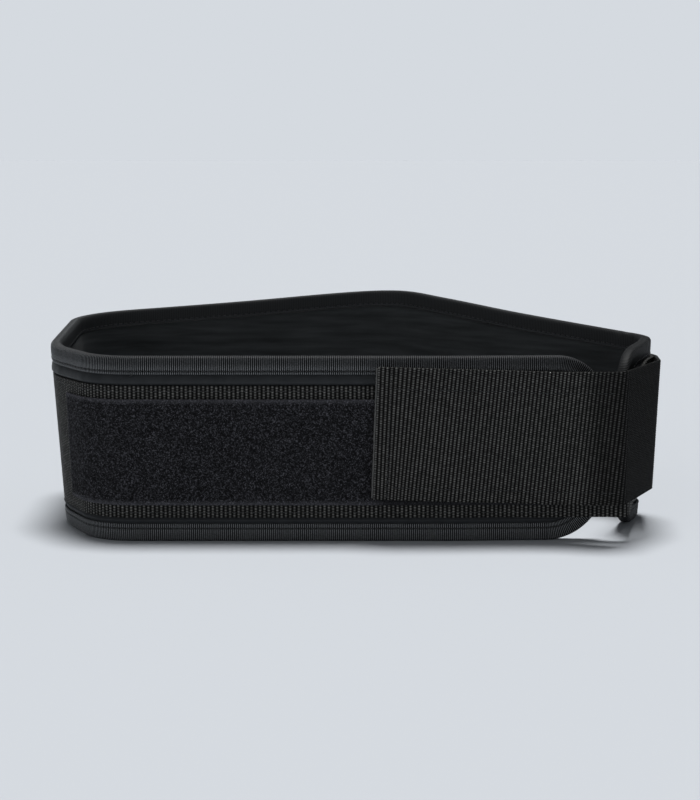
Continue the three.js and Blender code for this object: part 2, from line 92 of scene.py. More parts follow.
SIDE = (14.0, 14.5, 9.0)
LINK = (11.5, 4.7, 8.0)
LINK_MERGE = 38.0
LINK_SETTLE = 9.5
EASE = 60.0
LAY_REACH = 7.0

# The looks alone: loops of the pile, their thread, the groove beside the band and where a stitch is loose
LOOSE_LOOPS = 5200
FILAMENT = 0.16
GROOVE_WIDTH = 1.4
GROOVE_DEPTH = 1.3
LOOSE_END = 268.0

# How far the shell keeps inside the binding, how far the binding reaches inwards and its middle's depth
SHELL_EDGE = 1.4
TAPE_REACH = 10.3
BINDING_MIDDLE = 3.4

# Points across the plain back of a webbing
BACK_COLUMNS = 13

# Sewing: rows in mm from an edge or from the tape's middle, and the share of the pitch a stitch fills
UPPER_SEAM = 8.4
LOWER_SEAM = 7.4
BAND_SEAM = 34.4
PILE_SEAM = 28.6
PILE_END_SEAM = 1.6
TAIL_SEAMS = (-30.3, 25.5)
TAIL_END_SEAM = 8.2
STITCH_FILL = 0.72

# The camera that was fitted to the photo: place in metres, lens in mm, pitch below level in degrees
CAMERA_AT = (-0.0025, -1.2004, 0.21938)
CAMERA_LENS = 89.16
CAMERA_PITCH = 7.191

# Where the plan's own zero lies in the frame
PLAN_AT = (-0.499, -100.292)

# Corners of the plan: share of the width, share of the depth, bend radius
PLAN = (
    (0.912, 0.024, 0), (0.668, 0.0, 300), (0.078, 0.0, 34), (0.004, 0.27, 90),
    (-0.001, 0.928, 38), (0.558, 1.01, 60), (1.002, 0.406, 14), (0.943, 0.116, 0),
)

# Along the body: share of the length, then shares of the height, the band's rise and the lean
WALL = (
    (0.0, 0.0, 0.0, 0.0), (0.3, 0.0, 0.0, 0.0), (0.37, 0.07, 0.08, 0.95), (0.41, 0.16, 0.2, 1.0),
    (0.48, 0.31, 0.45, 1.0), (0.55, 0.49, 0.7, 0.85), (0.62, 0.69, 0.88, 0.75), (0.69, 0.92, 0.97, 0.75),
    (0.73, 1.0, 1.0, 0.75), (0.77, 0.86, 1.0, 0.75), (0.83, 0.58, 0.97, 0.75), (0.9, 0.3, 0.9, 0.85),
    (0.95, 0.12, 0.85, 0.85), (1.0, 0.02, 0.8, 0.6),
)

# Levels of the layers, outwards from the body's outer face
BAND_LEVEL = CLEAR + BAND / 2
PILE_LEVEL = CLEAR + BAND + CLEAR + PILE / 2
TAIL_LEVEL = PILE_LEVEL + PILE / 2 + CLEAR + HOOK + CLEAR + BAND / 2
RETURN_LEVEL = BAND_LEVEL + BAND + CLEAR
RING_LEVEL = CLEAR + BAND + CLEAR + RING_WIRE / 2
WRAP_RADIUS = RING_WIRE / 2 + CLEAR + BAND / 2


def linear(code):
    """An sRGB hex colour as linear red, green and blue."""
    parts = [int(code[i:i + 2], 16) / 255 for i in (1, 3, 5)]
    return tuple(c / 12.92 if c <= 0.04045 else ((c + 0.055) / 1.055) ** 2.4 for c in parts)


def smooth(t):
    """A step from 0 to 1 with soft ends."""
    t = np.clip(t, 0.0, 1.0)
    return t * t * (3 - 2 * t)


# Plan of the belt

def make_route(corners):
    """Straights and arcs through corner points, each corner rounded to its bend radius."""
    pieces = []
    start = np.array(corners[0][0], float)
    for i in range(1, len(corners) - 1):
        corner = np.array(corners[i][0], float)
        back = corner - corners[i - 1][0]
        ahead = np.array(corners[i + 1][0], float) - corner
        room = 0.49 * min(np.linalg.norm(back), np.linalg.norm(ahead))
        back /= np.linalg.norm(back)
        ahead /= np.linalg.norm(ahead)
        turn = math.atan2(back[0] * ahead[1] - back[1] * ahead[0], back @ ahead)
        if abs(turn) < 1e-6:
            continue
        tangent = min(corners[i][1] * math.tan(abs(turn) / 2), room)
        radius = tangent / math.tan(abs(turn) / 2)
        meet = corner - back * tangent
        pieces.append((start, back, np.linalg.norm(meet - start), 0.0))
        pieces.append((meet, back, radius * abs(turn), turn))
        start = corner + ahead * tangent
    rest = np.array(corners[-1][0], float) - start
    pieces.append((start, rest / np.linalg.norm(rest), np.linalg.norm(rest), 0.0))
    marks = np.concatenate([[0.0], np.cumsum([piece[2] for piece in pieces])])
    return pieces, marks


def walk(route, distance):
    """Point and direction at a distance along a route, which runs on straight past its ends."""
    pieces, marks = route
    i = 0
    for k, piece in enumerate(pieces):
        if piece[2] > 0 and distance >= marks[k]:
            i = k
    start, direction, length, turn = pieces[i]
    part = distance - marks[i]
    if turn == 0:
        return start + direction * part, direction
    angle = turn * part / length
    radius = length / turn
    left = np.array([-direction[1], direction[0]])
    point = start + direction * radius * math.sin(angle) + left * radius * (1 - math.cos(angle))
    return point, direction * math.cos(angle) + left * math.sin(angle)


BODY = make_route([(((a - 0.5) * LOOP_WIDTH, d * LOOP_DEPTH), bend) for a, d, bend in PLAN])
LENGTH = float(BODY[1][-1])
BEND_START = float(BODY[1][-3])
BEND_END = float(BODY[1][-2])
NEAR_BAR = BEND_START - RING_PAST_BEND
FAR_BAR = NEAR_BAR - RING_WIRE - RING_OPENING


def wall_value(column, s):
    """A column of the wall's table at distances along the body, with a smooth slope through each row."""
    at = np.clip(np.asarray(s, float) / LENGTH, 0.0, 1.0)
    keys = np.array([row[0] for row in WALL])
    values = np.array([row[column] for row in WALL])
    slopes = np.zeros(len(keys))
    for i in range(len(keys)):
        a = max(i - 1, 0)
        b = min(i + 1, len(keys) - 1)
        is_peak = (values[i] - values[a]) * (values[b] - values[i]) <= 0
        slopes[i] = 0 if is_peak else (values[b] - values[a]) / (keys[b] - keys[a])
    i = np.clip(np.searchsorted(keys, at, side="left") - 1, 0, len(keys) - 2)
    span = keys[i + 1] - keys[i]
    t = np.clip((at - keys[i]) / span, 0.0, 1.0)
    rise = (values[i + 1] - values[i]) * smooth(t)
    bend = t * (1 - t) ** 2 * span * slopes[i] + t * t * (t - 1) * span * slopes[i + 1]
    return values[i] + rise + bend


def wall_height(s):
    return FRONT_HEIGHT + (BACK_HEIGHT - FRONT_HEIGHT) * wall_value(1, s)


def band_middle(s):
    return BAND_FRONT + (BAND_BACK - BAND_FRONT) * wall_value(2, s)


def seat(s):
    """How deep the band lies in the padding."""
    s = np.asarray(s, float)
    return SEAT_DEPTH * smooth((s - LOWER_CORNER) / SEAT_RAMP) * smooth((FAR_BAR - FLAP - s) / SEAT_RAMP)


# The wall's foot, outward and upward directions, tabled every half millimetre
TABLE_STEP = 0.5
TABLE_S = np.arange(-80.0, LENGTH + 80.0, TABLE_STEP)
WALKED = [walk(BODY, s) for s in TABLE_S]
LEANS = np.radians(SIDE_LEAN * wall_value(3, TABLE_S))
NORMALS = np.array([(-d[1], d[0]) for _, d in WALKED])
FOOT = np.array([(p[0] + PLAN_AT[0], p[1] + PLAN_AT[1], 0.0) for p, _ in WALKED])
OUT = np.column_stack([NORMALS * np.cos(LEANS)[:, None], -np.sin(LEANS)])
UP = np.column_stack([NORMALS * np.sin(LEANS)[:, None], np.cos(LEANS)])


def look_up(table, s):
    """Rows of a table at distances s, which may be an array of any shape."""
    place = (np.asarray(s, float) - TABLE_S[0]) / TABLE_STEP
    i = np.clip(place.astype(int), 0, len(table) - 2)
    t = (place - i)[..., None]
    return table[i] * (1 - t) + table[i + 1] * t


def on_wall(s, w, v):
    """Points in mm at s along the body, w outwards from its outer face and v up its wall."""
    s, w, v = np.broadcast_arrays(*(np.asarray(x, float) for x in (s, w, v)))
    near_end = smooth((s - (LENGTH - SLANT_REACH)) / SLANT_REACH)
    there = s + END_SLANT * near_end * (v / wall_height(s) - 0.5)
    return look_up(FOOT, there) + look_up(OUT, there) * w[..., None] + look_up(UP, there) * v[..., None]


def inset_at(s, inset, corner):
    """How far in from the floor, or the top, the panel's outline lies near its rounded ends."""
    s = np.asarray(s, float)
    radius = max(corner - inset, 0.0)
    run = np.clip(radius - (np.minimum(s, LENGTH - s) - inset), 0.0, radius)
    return inset + radius - np.sqrt(np.maximum(radius * radius - run * run, 0.0))


# Soft noise that is the same in every run

def soft_noise(u, v, seed):
    """Values from -1 to 1 that change smoothly over one unit of u and v."""
    u, v = np.broadcast_arrays(np.asarray(u, float), np.asarray(v, float))
    i = np.floor(u).astype(np.int64)
    j = np.floor(v).astype(np.int64)

    def corner(a, b):
        mixed = (a * 374761393 + b * 668265263 + seed * 974711) & 0xFFFFFFFF
        mixed = ((mixed ^ (mixed >> 13)) * 1274126177) & 0xFFFFFFFF
        return ((mixed ^ (mixed >> 16)) & 0xFFFF) / 32767.5 - 1

    a = smooth(u - i)
    b = smooth(v - j)
    low = corner(i, j) * (1 - a) + corner(i + 1, j) * a
    high = corner(i, j + 1) * (1 - a) + corner(i + 1, j + 1) * a
    return low * (1 - b) + high * b


# Meshes

def grid_faces(rows, columns, closed_rows):
    """Quads between neighbouring points of rings, which are numbered ring by ring."""
    i = np.arange(rows if closed_rows else rows - 1)
    i, j = np.meshgrid(i, np.arange(columns), indexing="ij")
    i, j = i.ravel(), j.ravel()
    i2, j2 = (i + 1) % rows, (j + 1) % columns
    return np.column_stack([i * columns + j, i2 * columns + j, i2 * columns + j2, i * columns + j2])


def cloth_object(name, points, cloth, weave=None, closed_rows=False):
    """A piece from rings of points in mm: cloth holds each point's place on the cloth in mm, weave its
    place counted in threads."""
    rows, columns = points.shape[:2]
    mesh = bpy.data.meshes.new(name)
    all_faces = grid_faces(rows, columns, closed_rows).tolist()
    if not closed_rows:
        all_faces.append(list(range(columns)))
        all_faces.append([(rows - 1) * columns + j for j in reversed(range(columns))])
    mesh.from_pydata((points.reshape(-1, 3) * MM).tolist(), [], all_faces)
    corners = np.zeros(len(mesh.loops), dtype=np.int32)
    mesh.loops.foreach_get("vertex_index", corners)
    for title, values in (("Cloth", cloth), ("Weave", weave)):
        if values is not None:
            layer = mesh.uv_layers.new(name=title)
            layer.data.foreach_set("uv", values.reshape(-1, 2)[corners].astype(np.float32).ravel())
    made = bmesh.new()
    made.from_mesh(mesh)
    if made.calc_volume(signed=True) < 0:
        bmesh.ops.reverse_faces(made, faces=made.faces)
    made.to_mesh(mesh)
    made.free()
    mesh.shade_smooth()
    piece = bpy.data.objects.new(name, mesh)
    bpy.context.scene.collection.objects.link(piece)
    return piece


def settle(piece, material, slot, *nodes):
    """Gives a piece its material, hides the solids of model.glb that it stands for and sets it on the belt;
    the slot is not used.
    """
    piece.data.materials.clear()
    piece.data.materials.append(material)
    if nodes:
        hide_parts(*nodes)
    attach(piece, "root")
    return piece


def deselect():
    if bpy.context.object and bpy.context.object.mode != "OBJECT":
        bpy.ops.object.mode_set(mode="OBJECT")
    bpy.ops.object.select_all(action="DESELECT")


# Lines of webbing

def middle(s, level, height=None):
    """Middle of a tape on the wall, with its upward direction."""
    height = float(band_middle(s)) if height is None else height
    return on_wall(s, level, height), look_up(UP, s)


def in_air(corners, step=2.0):
    """Middles of a free stretch over rounded corners, its height and lean passing evenly along it."""
    route = make_route([((at[0], at[1]), bend) for (at, _), bend in corners])
    reach = [0.0]
    for i in range(1, len(corners)):
        reach.append(reach[-1] + np.linalg.norm(corners[i][0][0][:2] - corners[i - 1][0][0][:2]))
    length = route[1][-1]
    middles = []
    for s in np.linspace(0, length, max(int(length / step), 2)):
        along = s / length * reach[-1]
        i = min(int(np.searchsorted(reach, along, side="right")) - 1, len(corners) - 2)
        t = (along - reach[i]) / (reach[i + 1] - reach[i])
        point, _ = walk(route, s)
        (at, up), _ = corners[i]
        (next_at, next_up), _ = corners[i + 1]
        lean = up * (1 - t) + next_up * t
        height = at[2] * (1 - t) + next_at[2] * t
        middles.append((np.array([point[0], point[1], height]), lean / np.linalg.norm(lean)))
    return middles


def round_bar(bar, side, is_rising):
    """A half turn of webbing round one bar of the ring."""
    angles = np.radians(np.arange(-80, 81, 10))
    middles = []
    for angle in angles if is_rising else -angles:
        level = RING_LEVEL + WRAP_RADIUS * math.sin(angle)
        middles.append(middle(bar + side * WRAP_RADIUS * math.cos(angle), level, float(band_middle(bar))))
    return middles


def ramp_level(s, bar):
    t = min(abs(s - bar) / RAMP, 1.0)
    top = RING_LEVEL + WRAP_RADIUS
    return top + (RETURN_LEVEL - top) * t * t * (3 - 2 * t)


def along_wall(start, end, level, height=None, step=2.0):
    """Middles of a tape on the wall between two distances; level and height are functions of the distance."""
    marks = np.linspace(start, end, max(int(abs(end - start) / step), 2))
    return [middle(s, level(s), None if height is None else height(s)) for s in marks]


def band_line():
    """The band sewn round the body, from its sewn-down end at the ring to the bar the strap turns round."""
    meet = LENGTH - LINK_MERGE
    settled = meet - LINK_SETTLE
    past, standoff, bend = LINK
    link = in_air([
        (middle(past, BAND_LEVEL), 0),
        (middle(0, BAND_LEVEL), EASE),
        (middle(-past, standoff, BAND_FRONT), bend),
        (middle(meet, BAND_LEVEL), EASE),
        (middle(settled, BAND_LEVEL), 0),
    ])
    return [
        *along_wall(FAR_BAR - FLAP, FAR_BAR, lambda s: ramp_level(s, FAR_BAR))[:-1],
        *round_bar(FAR_BAR, 1, False),
        *along_wall(FAR_BAR, past, lambda s: BAND_LEVEL - float(seat(s)))[1:-1],
        *link,
        *along_wall(settled, NEAR_BAR, lambda s: BAND_LEVEL)[1:-1],
        *round_bar(NEAR_BAR, -1, True),
    ]


def leaving_place(level, target):
    """Where a layer round the right bend leaves it straight for a point."""
    best = (BEND_START, 1e9)
    for s in np.linspace(BEND_START, BEND_END, 200):
        at, _ = middle(s, level)
        sight = target[:2] - at[:2]
        direction = walk(BODY, s)[1]
        miss = abs(direction[0] * sight[1] - direction[1] * sight[0]) / np.linalg.norm(sight)
        if miss < best[1]:
            best = (s, miss)
    return best[0]


def strap_line():
    """The strap from the ring back round the right side and over the front to the tail's end."""
    def risen(share):
        return BAND_FRONT + STRAP_RISE * share

    def tail_height(s):
        t = (s - LIFT_REACH) / (TAIL_REACH - LIFT_REACH)
        return risen(STRAP_RISES["lift"]) * (1 - t) + risen(STRAP_RISES["tail"]) * t

    side = middle(LENGTH - SIDE[0], SIDE[1], risen(STRAP_RISES["side"]))
    crease = middle(-CREASE[0], CREASE[1], risen(STRAP_RISES["crease"]))
    leave = leaving_place(RETURN_LEVEL, side[0])
    laid = LIFT_REACH + LAY_REACH
    free = in_air([
        (middle(leave, RETURN_LEVEL), 0),
        (side, SIDE[2]),
        (crease, CREASE[2]),
        (middle(LIFT_REACH, TAIL_LEVEL, tail_height(LIFT_REACH)), EASE),
        (middle(laid, TAIL_LEVEL - float(seat(laid)), tail_height(laid)), 0),
    ])
    return [
        *along_wall(NEAR_BAR, leave, lambda s: ramp_level(s, NEAR_BAR))[:-1],
        *free,
        *along_wall(laid, TAIL_REACH, lambda s: TAIL_LEVEL - float(seat(s)), tail_height)[1:],
    ]


class Line:
    """A line of middles, read by the distance along it; outward is -1 where it runs the way the body does."""

    def __init__(self, middles, outward):
        self.at = np.array([m[0] for m in middles])
        self.up = np.array([m[1] for m in middles])
        steps = np.linalg.norm(np.diff(self.at, axis=0), axis=1)
        self.marks = np.concatenate([[0.0], np.cumsum(steps)])
        self.length = float(self.marks[-1])
        along = np.gradient(self.at, self.marks, axis=0)
        face = outward * np.cross(along, self.up)
        self.face = face / np.linalg.norm(face, axis=1, keepdims=True)

    def read(self, table, distance):
        distance = np.asarray(distance, float)
        return np.stack([np.interp(distance, self.marks, table[:, k]) for k in range(3)], axis=-1)

    def place(self, distance, across, off):
        """Points at a distance along the line, across its width and off its face."""
        spot = self.read(self.at, distance)
        past = np.clip(np.asarray(distance) - self.length, 0, None) + np.clip(np.asarray(distance), None, 0)
        heading = (self.at[-1] - self.at[-3]) / np.linalg.norm(self.at[-1] - self.at[-3])
        spot = spot + heading * past[..., None]
        up = self.read(self.up, distance)
        face = self.read(self.face, distance)
        return spot + up * np.asarray(across)[..., None] + face * np.asarray(off)[..., None]


def woven(name, line, end, rib, bead, relief, lean, turn_shade_along):
    """A length of webbing with raised ribs across it, each a row of beads staggered with the next row's."""
    ribs = int(round(end / rib))
    marks = end * np.arange(2 * ribs + 1) / (2 * ribs)
    rows = 2 * int(round(BAND_WIDTH / bead)) + 1
    half = BAND / 2
    reach = BAND_WIDTH / 2 - half / 2
    across = np.linspace(-reach, reach, rows)
    back_across = np.linspace(reach, -reach, BACK_COLUMNS)
    turned = np.radians(np.array([30.0, 90.0, 150.0]))
    rim_across = reach + half / 2 * np.sin(turned)
    rim_off = half * np.cos(turned)
    section_across = np.concatenate([across, rim_across, back_across, -rim_across])
    section_off = np.concatenate([np.full(rows, half), rim_off, np.full(BACK_COLUMNS, -half), -rim_off])
    i = np.arange(len(marks))[:, None]
    j = np.arange(rows)[None, :]
    is_crest = (i % 2 == 1)
    is_bead = ((i // 2 + j) % 2 == 0)
    lift = np.zeros((len(marks), len(section_across)))
    lift[:, :rows] = (np.where(is_crest, np.where(is_bead, 1.0, 0.4), 0.0) - 1.0) * relief
    distance = marks[:, None] - np.tan(np.radians(lean(marks)))[:, None] * section_across[None, :]
    off = section_off[None, :] + lift
    points = line.place(distance, np.broadcast_to(section_across[None, :], off.shape), off)
    folds = np.cumsum(np.abs(np.diff(section_across, prepend=section_across[0])))[None, :]
    cloth = np.stack(np.broadcast_arrays(distance, folds), axis=-1)
    counted = (section_across - across[0]) / (2 * (across[1] - across[0]))
    weave = np.stack(np.broadcast_arrays(i / 2, counted[None, :]), axis=-1)
    piece = cloth_object(name, points, cloth, weave)
    # Painted shade kept on each point for the webbing's material: where the strap turns away from the light
    turn_shade = piece.data.attributes.new("PaintedShade", "FLOAT", "POINT")
    turn_shade.data.foreach_set("value", turn_shade_along(distance).astype(np.float32).ravel())
    return piece


# Outline of the panel, round which the edge tape runs

def outline_places(step):
    """Distance along the body, inset from its edge, inward direction and whether it is the upper edge."""
    places = []

    def corner(centre, radius, start_angle, is_upper):
        steps = max(int(radius * math.pi / 2 / step), 4)
        for k in range(steps):
            angle = math.radians(start_angle + 90 * k / steps)
            along_in = -math.cos(angle)
            edge_in = abs(math.sin(angle))
            places.append((centre - radius * along_in, radius * (1 - edge_in), along_in, edge_in, is_upper))

    def straight(start, end, is_upper):
        for s in np.linspace(start, end, max(int(abs(end - start) / step), 2), endpoint=False):
            places.append((s, 0.0, 0.0, 1.0, is_upper))

    straight(LOWER_CORNER, LENGTH - LOWER_CORNER, False)
    corner(LENGTH - LOWER_CORNER, LOWER_CORNER, -90, False)
    corner(LENGTH - UPPER_CORNER, UPPER_CORNER, 0, True)
    straight(LENGTH - UPPER_CORNER, UPPER_CORNER, True)
    corner(UPPER_CORNER, UPPER_CORNER, 90, True)
    corner(LOWER_CORNER, LOWER_CORNER, 180, False)
    return np.array(places, float)


def on_outline(places, inwards, w):
    """Points at a distance inwards from the panel's edge, w outwards from its outer face."""
    s, from_edge, along_in, edge_in, is_upper = (places[:, k][:, None] for k in range(5))
    here = s + along_in * inwards
    inset = from_edge + edge_in * inwards
    v = np.where(is_upper > 0.5, wall_height(here) - inset, inset)
    return on_wall(here, w, v)


def sewn_inset(places):
    """How far the binding's stitch row lies from the panel's edge, which is more along the upper edge."""
    return np.where(places[:, 4:5] > 0.5, UPPER_SEAM, LOWER_SEAM)


# Materials

def add_node(tree, kind, inputs=(), links=(), **settings):
    """Adds one shader node; inputs are (socket, value) pairs, links (socket, other node's output) pairs."""
    node = tree.nodes.new("ShaderNode" + kind)
    for name, value in settings.items():
        setattr(node, name, value)
    for name, value in inputs:
        node.inputs[name].default_value = value
    for name, output in links:
        tree.links.new(output, node.inputs[name])
    return node


def new_material(name, roughness, specular, sheen=0.0, metallic=0.0):
    """A material with one principled shader, its plain values set on the shader's own sockets."""
    material = bpy.data.materials.new(name)
    material.use_nodes = True
    tree = material.node_tree
    tree.nodes.clear()
    surface = add_node(tree, "BsdfPrincipled", [
        ("Roughness", roughness), ("Specular IOR Level", specular), ("Metallic", metallic),
        ("Sheen Weight", sheen), ("Sheen Roughness", 0.5)])
    add_node(tree, "OutputMaterial", links=[("Surface", surface.outputs["BSDF"])])
    return material, tree, surface


def dress(tree, surface, tint, bump):
    """Gives a shader its colour and its relief."""
    tree.links.new(tint.outputs[MIX_OUT], surface.inputs["Base Color"])
    tree.links.new(bump.outputs["Normal"], surface.inputs["Normal"])


def shade(colour, factor):
    """A colour made darker or lighter by a factor, as a socket takes it."""
    return tuple(min(c * factor, 1.0) for c in colour) + (1.0,)


# Sockets of a colour mix: the two colours and the result
MIX_A, MIX_B, MIX_OUT = 6, 7, 2

# Where the binding's stitch row lies in its own count from the folded edge
SEAM_MARK = 8.0


def woven_nylon_shell(colours):
    """Close-woven nylon shell: threads 0.35 mm apart, seen as a faint even grain with a soft low gloss."""
    material, tree, surface = new_material("woven_nylon_shell", 0.55, 0.1, 0.02)
    cloth = add_node(tree, "UVMap", uv_map="Cloth").outputs["UV"]
    threads = add_node(tree, "TexChecker", [("Scale", 1 / 0.35)], [("Vector", cloth)])
    blotches = add_node(tree, "TexNoise", [("Scale", 1 / 6), ("Detail", 3)], [("Vector", cloth)])
    tint = add_node(tree, "Mix",
                    [(MIX_A, shade(colours.shell, 0.7)), (MIX_B, shade(colours.shell, 1.3))],
                    [("Factor", blotches.outputs["Fac"])], data_type="RGBA")
    bump = add_node(tree, "Bump", [("Strength", 0.3), ("Distance", 0.00006)],
                    [("Height", threads.outputs["Fac"])])
    dress(tree, surface, tint, bump)
    return material


def knit_lining(colours):
    """Brushed warp-knit lining: matt, its nap lying in soft streaks 4 mm tall along the belt."""
    material, tree, surface = new_material("knit_lining", 0.8, 0.06, 0.02)
    cloth = add_node(tree, "UVMap", uv_map="Cloth").outputs["UV"]
    drawn = add_node(tree, "VectorMath", [(1, (1 / 40, 1 / 4, 1))], [(0, cloth)],
                     operation="MULTIPLY")
    streaks = add_node(tree, "TexNoise", [("Scale", 1), ("Detail", 3)],
                       [("Vector", drawn.outputs["Vector"])])
    nap = add_node(tree, "TexNoise", [("Scale", 1.6), ("Detail", 2)], [("Vector", cloth)])
    tint = add_node(tree, "Mix",
                    [(MIX_A, shade(colours.lining, 0.25)), (MIX_B, shade(colours.lining, 1.75))],
                    [("Factor", streaks.outputs["Fac"])], data_type="RGBA")
    bump = add_node(tree, "Bump", [("Strength", 0.5), ("Distance", 0.0001)],
                    [("Height", nap.outputs["Fac"])])
    dress(tree, surface, tint, bump)
    return material


def ribbed_binding(colours):
    """Woven nylon binding: raised ribs 1.16 mm apart with a painted highlight on their crowns and painted
    shade in their grooves, dark where the stitches sink in, with a random fibre tone. Its inner half is
    plain painted shade with a painted highlight along its edge. Painted shade darkens the rolls of the
    edges against the flat faces, the upper roll most, and the binding at the right bend beside the
    strap; painted light brightens it at the left bend."""
    material, tree, surface = new_material("ribbed_binding", 0.5, 0.05)
    cloth = add_node(tree, "UVMap", uv_map="Cloth").outputs["UV"]
    weave = add_node(tree, "UVMap", uv_map="Weave").outputs["UV"]
    counted = add_node(tree, "SeparateXYZ", links=[("Vector", weave)])
    object_place = add_node(tree, "TexCoord").outputs["Object"]
    place = add_node(tree, "SeparateXYZ", links=[("Vector", object_place)])
    fibre = add_node(tree, "TexNoise", [("Scale", 1.4), ("Detail", 3)], [("Vector", cloth)])
    rib = counted.outputs["X"]
    for operation, values in (("MULTIPLY", [(1, 2 * math.pi)]), ("COSINE", []),
                              ("MULTIPLY_ADD", [(1, 0.5), (2, 0.5)])):
        rib = add_node(tree, "Math", values, [(0, rib)], operation=operation).outputs[0]
    from_fold = counted.outputs["Y"]
    from_edge = add_node(tree, "Math", links=[(0, from_fold)], operation="ABSOLUTE").outputs[0]
    off_seam = from_edge
    for operation, values in (("SUBTRACT", [(1, SEAM_MARK)]), ("ABSOLUTE", [])):
        off_seam = add_node(tree, "Math", values, [(0, off_seam)], operation=operation).outputs[0]
    shares = {}
    for name, value, start, end, low, high in (
        ("worn", fibre.outputs["Fac"], 0.3, 0.7, 0.5, 1.1),
        ("seam", off_seam, 0.35, 0.8, 0.3, 1),
        # painted shade that deepens higher up, used on the rolls of the edges
        ("painted_top_shade", place.outputs["Z"], 0.03, 0.08, 1, 0.62),
        ("flat", from_edge, 4, 7, 0, 1),
        # painted light on the binding at the left bend
        ("painted_left_light", place.outputs["X"], -0.175, -0.135, 1.7, 1),
        # painted shade on the binding at the right bend beside the strap
        ("painted_right_shade", place.outputs["X"], 0.11, 0.145, 1, 0.5),
        ("outer", from_fold, -0.7, 0.3, 0, 1),
        # painted shade on the inner half, with a painted highlight along its edge past the stitch row
        ("inner", from_fold, -8.4, -8.9, 0.06, 0.15),
    ):
        shares[name] = add_node(tree, "MapRange", [
            ("From Min", start), ("From Max", end), ("To Min", low), ("To Max", high)],
            [("Value", value)]).outputs["Result"]
    # Painted shade on the rolls of the edges: the flat faces get 1.35, the rolls the height's painted shade,
    # so the upper roll is darkest
    regained = add_node(tree, "Math", [(0, 1.35)], [(1, shares["painted_top_shade"])], operation="SUBTRACT")
    rolled = add_node(tree, "Math", links=[
        (0, regained.outputs[0]), (1, shares["flat"]), (2, shares["painted_top_shade"])], operation="MULTIPLY_ADD")
    # The inner half: faint ribs over its painted shade and painted edge highlight
    inner = add_node(tree, "Math", [(1, 0.055)], [(0, rib), (2, shares["inner"])],
                     operation="MULTIPLY_ADD")
    # Painted highlight on the rib crowns over painted shade in the grooves, times a random fibre tone, the
    # dark stitch row, the painted shade on the rolls and at the right bend, and the painted light at the left
    # bend
    shown = add_node(tree, "Math", [(1, 3)], [(0, rib)], operation="POWER").outputs[0]
    for share in (shares["worn"], shares["seam"], rolled.outputs[0], shares["painted_left_light"], shares["painted_right_shade"]):
        shown = add_node(tree, "Math", links=[(0, shown), (1, share)],
                         operation="MULTIPLY").outputs[0]
    bright = add_node(tree, "Mix", links=[
        ("Factor", shares["outer"]), ("A", inner.outputs[0]), ("B", shown)]).outputs[0]
    tint = add_node(tree, "Mix",
                    [(MIX_A, shade(colours.binding, 0.02)), (MIX_B, shade(colours.binding, 10.0))],
                    [("Factor", bright)], data_type="RGBA")
    bump = add_node(tree, "Bump", [("Strength", 0.8), ("Distance", 0.0002)], [("Height", bright)])
    dress(tree, surface, tint, bump)
    return material


def nylon_webbing(colours):
    """Heavy plain-woven nylon webbing: rows of rounded beads of random tone, a painted highlight on their
    crowns over painted shade in the gaps, and painted shade where the strap turns away from the light."""
    material, tree, surface = new_material("nylon_webbing", 0.5, 0.05)
    cloth = add_node(tree, "UVMap", uv_map="Cloth").outputs["UV"]
    weave = add_node(tree, "UVMap", uv_map="Weave").outputs["UV"]
    counted = add_node(tree, "SeparateXYZ", links=[("Vector", weave)])
    rib_number = add_node(tree, "Math", links=[(0, counted.outputs["X"])],
                          operation="FLOOR").outputs[0]
    stagger = add_node(tree, "Math", [(1, -0.5)], [(0, rib_number), (2, counted.outputs["Y"])],
                       operation="MULTIPLY_ADD").outputs[0]
    waves = []
    for value, swing, level in ((counted.outputs["X"], -0.5, 0.5), (stagger, 0.34, 0.66)):
        for operation, values in (("MULTIPLY", [(1, 2 * math.pi)]), ("COSINE", []),
                                  ("MULTIPLY_ADD", [(1, swing), (2, level)])):
            value = add_node(tree, "Math", values, [(0, value)], operation=operation).outputs[0]
        waves.append(value)
    crown = add_node(tree, "Math", links=[(0, waves[0]), (1, waves[1])],
                     operation="MULTIPLY").outputs[0]
    bead_number = add_node(tree, "Math", links=[(0, stagger)], operation="ROUND").outputs[0]
    each = add_node(tree, "CombineXYZ", links=[("X", rib_number), ("Y", bead_number)])
    chance = add_node(tree, "TexWhiteNoise", links=[("Vector", each.outputs["Vector"])],
                      noise_dimensions="2D")
    fibre = add_node(tree, "TexNoise", [("Scale", 3), ("Detail", 2)], [("Vector", cloth)])
    turn_shade = add_node(tree, "Attribute", attribute_name="PaintedShade")
    # Painted highlight on the bead crowns over painted shade in the gaps; then a random tone per bead, a
    # random fibre tone and the painted shade where the strap turns away from the light
    bright = add_node(tree, "Math", [(1, 1.5)], [(0, crown)], operation="POWER").outputs[0]
    for value, start, end, low, high in (
        (chance.outputs["Value"], 0, 1, 0.6, 1.15),
        (fibre.outputs["Fac"], 0.3, 0.7, 0.7, 1.1),
        # painted shade where the strap turns away from the light
        (turn_shade.outputs["Fac"], 0, 1, 1, 0.16),
    ):
        share = add_node(tree, "MapRange", [
            ("From Min", start), ("From Max", end), ("To Min", low), ("To Max", high)], [("Value", value)])
        bright = add_node(tree, "Math", links=[(0, bright), (1, share.outputs["Result"])],
                          operation="MULTIPLY").outputs[0]
    tint = add_node(tree, "Mix",
                    [(MIX_A, shade(colours.webbing, 0.05)), (MIX_B, shade(colours.webbing, 9.0))],
                    [("Factor", bright)], data_type="RGBA")
    bump = add_node(tree, "Bump", [("Strength", 0.9), ("Distance", 0.0004)], [("Height", crown)])
    dress(tree, surface, tint, bump)
    return material


